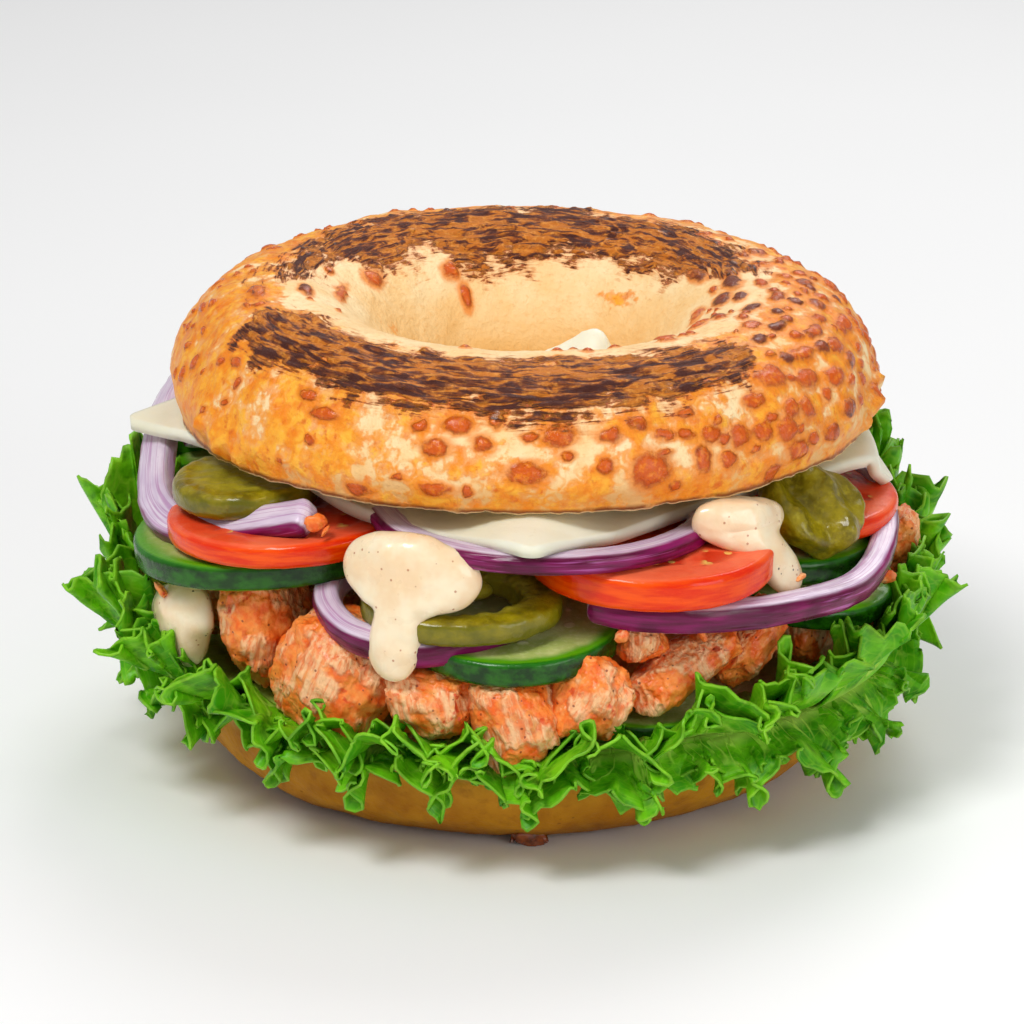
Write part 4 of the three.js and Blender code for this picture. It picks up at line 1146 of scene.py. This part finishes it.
# Sauce
# A thick, glossy cream sauce with flecks of spice, which has run down over the outside of the filling.
# A dab of plain white spread sits low at the front.
SAUCES = {
    "sauce_front": dict(
        azimuth=-106.8, radius=58.8, z=46.6, out=4.2, back=3, lean=0.22,
        reach=[10.6, 9.6, 7.8, 7.4, 7.2, 7.6, 9, 10.6, 10.8, 8.6, 7.4, 14.2, 14.6, 7, 6.6, 9.2],
    ),
    "sauce_right": dict(
        azimuth=-54.5, radius=54.6, z=51.4, out=4.2, back=2.6, lean=0.48,
        reach=[8.6, 6.2, 4.4, 3.8, 3.8, 4.4, 6, 8.2, 8, 6, 4.8, 4.4, 4.6, 12, 13, 7],
    ),
    "sauce_left": dict(
        azimuth=-150, radius=60.4, z=31.4, out=4.2, back=3, lean=0,
        reach=[7, 7.2, 7, 6, 5.6, 5.4, 5.8, 7.4, 11, 11.6, 6.4, 7.4, 8.6, 8, 6.6, 6],
    ),
    "sauce_back": dict(
        azimuth=110, radius=57, z=43, out=4, back=2.6, lean=0.1,
        reach=[7, 6.2, 5.6, 5.4, 5.4, 5.8, 6.6, 7.4, 7, 6, 6.4, 9.6, 11.4, 7, 5.4, 6],
    ),
    "spread_dab": dict(
        azimuth=-113, radius=54, z=15.6, out=2.6, back=1, lean=0,
        reach=[3.6, 2.4, 1.9, 2.4, 3.6, 2.4, 1.8, 2.4],
    ),
}


def poured(azimuth, radius, z, reach, out, back, lean, seed):
    mesh = bmesh.new()
    bmesh.ops.create_uvsphere(mesh, u_segments=128, v_segments=80, radius=1)
    ball = points(mesh)
    share = (np.arctan2(ball[:, 1], ball[:, 0]) / (2 * math.pi) * len(reach)) % len(reach)
    i = np.floor(share).astype(int) % len(reach)
    t = share - np.floor(share)
    edge = np.array(reach, float)
    before, here, after, beyond = (edge[(i + k) % len(reach)] for k in (-1, 0, 1, 2))
    bow = (2 * before - 5 * here + 4 * after - beyond) * t**2
    bow += (3 * here - before - 3 * after + beyond) * t**3
    reached = here + 0.5 * ((after - before) * t + bow)
    out_share = np.hypot(ball[:, 0], ball[:, 1]) ** 1.6
    reached = edge.mean() + (reached - edge.mean()) * out_share
    across = ball[:, 0] * reached
    up = ball[:, 1] * reached
    dome = ball[:, 2] * np.where(ball[:, 2] > 0, out, back)
    dome += 0.35 * lumpy(np.stack([across, up, dome], 1), 5, seed, 2)
    outwards = radius + dome - across**2 / (2 * radius) + lean * np.maximum(-up, 0)
    a = math.radians(azimuth)
    x = outwards * math.cos(a) - across * math.sin(a)
    y = outwards * math.sin(a) + across * math.cos(a)
    return moved_to(mesh, np.stack([x, y, z + up], 1))


creamy = Finish(
    "cream_sauce",
    Subsurface_Weight=0.25,
    Subsurface_Radius=(1.0, 0.8, 0.5),
    Subsurface_Scale=0.002,
    Coat_Weight=0.6,
    Coat_Roughness=0.08,
)
tint = creamy.lumps(5).mottled(0.3, 0.7, (250, 232, 198), (244, 212, 168))
speck = creamy.cells(1.9).rise(0.13, 0.07)
tint = (speck * 0.7).over(tint, 176, 92, 40)
black = creamy.cells(3.4).rise(0.07, 0.04)
tint = black.over(tint, 70, 50, 36)
creamy_finish = creamy.done(
    tint,
    rough=creamy.lumps(4).rise(0, 1) * 0.15 + 0.22,
    height=creamy.lumps(2.4, 3) + speck * 0.3,
    depth=0.2,
)
plain = Finish(
    "white_spread", Subsurface_Weight=0.3, Subsurface_Scale=0.002, Coat_Weight=0.2, Coat_Roughness=0.2
)
plain_finish = plain.done(
    plain.lumps(2).mottled(0.3, 0.7, (246, 244, 230), (236, 230, 208)),
    rough=plain.lumps(1.5).rise(0, 1) * 0.2 + 0.35,
    height=plain.lumps(1.1, 4),
    depth=0.3,
)
for seed, (name, plan) in enumerate(SAUCES.items()):
    white = name == "spread_dab"
    mesh = poured(seed=seed, **plan)
    finish, slot = (plain_finish, "spread") if white else (creamy_finish, "sauce")
    filling(name + "_run", mesh, finish, slot, name)

# Crumbs
# Shreds of the chicken that stick to the fillings, grains of white cheese in the crown's hole, and a drop of
# brown juice that has run down under the front of the heel.
SHREDS = [
    (-31.5, -45.6, 51.6, 1.7), (-30, -46.6, 50.6, 1.2), (-56, -32, 36, 1.5), (55, -30, 37.5, 1.8),
    (14, -58, 38.2, 1.2), (41, -44, 42.4, 1.3), (-22, -57, 34.4, 1.3), (26, -52.6, 36.8, 1.4),
]
LOOSE_SHREDS = 26
GRAINS = 16
random.seed(12)
for _ in range(LOOSE_SHREDS):
    spot = random.uniform(-180, 180)
    low = round_the_bagel(spot, random.uniform(53, 56.5), random.uniform(20.6, 22.4))
    SHREDS.append((*low, random.uniform(0.6, 1.4)))


def scattered(places, seed, subdivisions=3):
    """Rough little lumps at the given places, as one mesh."""
    mesh = bmesh.new()
    for i, (x, y, z, size) in enumerate(places):
        made = bmesh.ops.create_icosphere(mesh, subdivisions=subdivisions, radius=1)["verts"]
        ball = np.array([v.co for v in made])
        rough = 1 + 0.35 * lumpy(ball, 0.9, seed + i, 2)
        squash = np.array([1.0, 0.55 + 0.3 * math.sin(5 * i), 0.6 + 0.25 * math.cos(3 * i)]) * size
        p = rotated(ball * rough[:, None] * squash, (61 * i, "Z"), (37 * i, "X")) + [x, y, z]
        for vert, place in zip(made, p):
            vert.co = place
    return mesh


mesh = scattered(SHREDS, 3)
p = points(mesh)
marked(mesh, grain=p, fibrous=p[:, 0] * 0 + 0.4)
filling("chicken_shreds", mesh, meat_finish, "chicken")
grains = []
for _ in range(GRAINS):
    spot = random.gauss(112, 16)
    low = round_the_bagel(spot, random.uniform(17.5, 19.2), random.uniform(56.6, 58))
    grains.append((*low, random.uniform(0.3, 0.7)))
filling("cheese_grains", scattered(grains, 5, 2), milky_finish, "cheese")

juice = Finish("brown_juice", Specular_IOR_Level=0.4, Coat_Weight=0.6, Coat_Roughness=0.08)
juice_finish = juice.done(
    juice.lumps(1.2, 3).mottled(0.3, 0.7, (150, 70, 20), (86, 34, 10)),
    rough=juice.lumps(1).rise(0, 1) * 0.1 + 0.2,
    height=juice.lumps(1.5, 2),
    depth=0.15,
)
drops = [(0.6, -46.6, 1.5, 2.4), (-1.6, -46, 1.3, 1.6), (2.6, -46.3, 1.2, 1.3)]
mesh = scattered(drops, 9, 4)
p = points(mesh)
p[:, 2] = np.maximum(p[:, 2], 0.05)
filling("juice_drop", moved_to(mesh, p), juice_finish, "sauce")

# Studio
# A plain pale floor and soft lights round the bagel, and a long lens a little above the filling.
floor_mesh = bmesh.new()
FLOOR_REACH = 4
bmesh.ops.create_grid(floor_mesh, x_segments=1, y_segments=1, size=FLOOR_REACH)
floor_data = bpy.data.meshes.new("floor")
floor_mesh.to_mesh(floor_data)
floor_mesh.free()
paper = Finish("floor_paper")
floor_data.materials.append(
    paper.done(paper.lumps(400).mottled(0, 1, (244, 244, 244), (250, 250, 250)))
)
floor = bpy.data.objects.new("floor", floor_data)
bpy.context.scene.collection.objects.link(floor)

sky = bpy.data.worlds.new("studio")
sky.use_nodes = True
sky.node_tree.nodes["Background"].inputs["Color"].default_value = (1, 1, 1, 1)
sky.node_tree.nodes["Background"].inputs["Strength"].default_value = 0.38
bpy.context.scene.world = sky
bpy.context.scene.view_settings.view_transform = "Standard"
MIDDLE = Vector((0, 0, 0.04))


def lamp(name, place, size, watts):
    """A square soft light that faces the middle of the bagel."""
    data = bpy.data.lights.new(name, "AREA")
    data.size = size
    data.energy = watts
    made = bpy.data.objects.new(name, data)
    made.location = place
    made.rotation_euler = (Vector(place) - MIDDLE).to_track_quat("Z", "Y").to_euler()
    bpy.context.scene.collection.objects.link(made)


lamp("key", (-0.32, -0.42, 0.78), 0.3, 4.8)
lamp("fill", (0.6, -0.6, 0.3), 0.45, 2.0)
lamp("back", (0.2, 0.55, 0.65), 0.4, 2.4)

eye = Vector((-0.00084, -0.66425, 0.2655))
target = Vector((-0.00084, -0.00239, 0.0376))
view = bpy.data.cameras.new("camera")
view.lens = 153.8
view.sensor_width = 36
view.clip_start = 0.01
camera = bpy.data.objects.new("camera", view)
camera.location = eye
camera.rotation_euler = (target - eye).to_track_quat("-Z", "Y").to_euler()
bpy.context.scene.collection.objects.link(camera)
bpy.context.scene.camera = camera
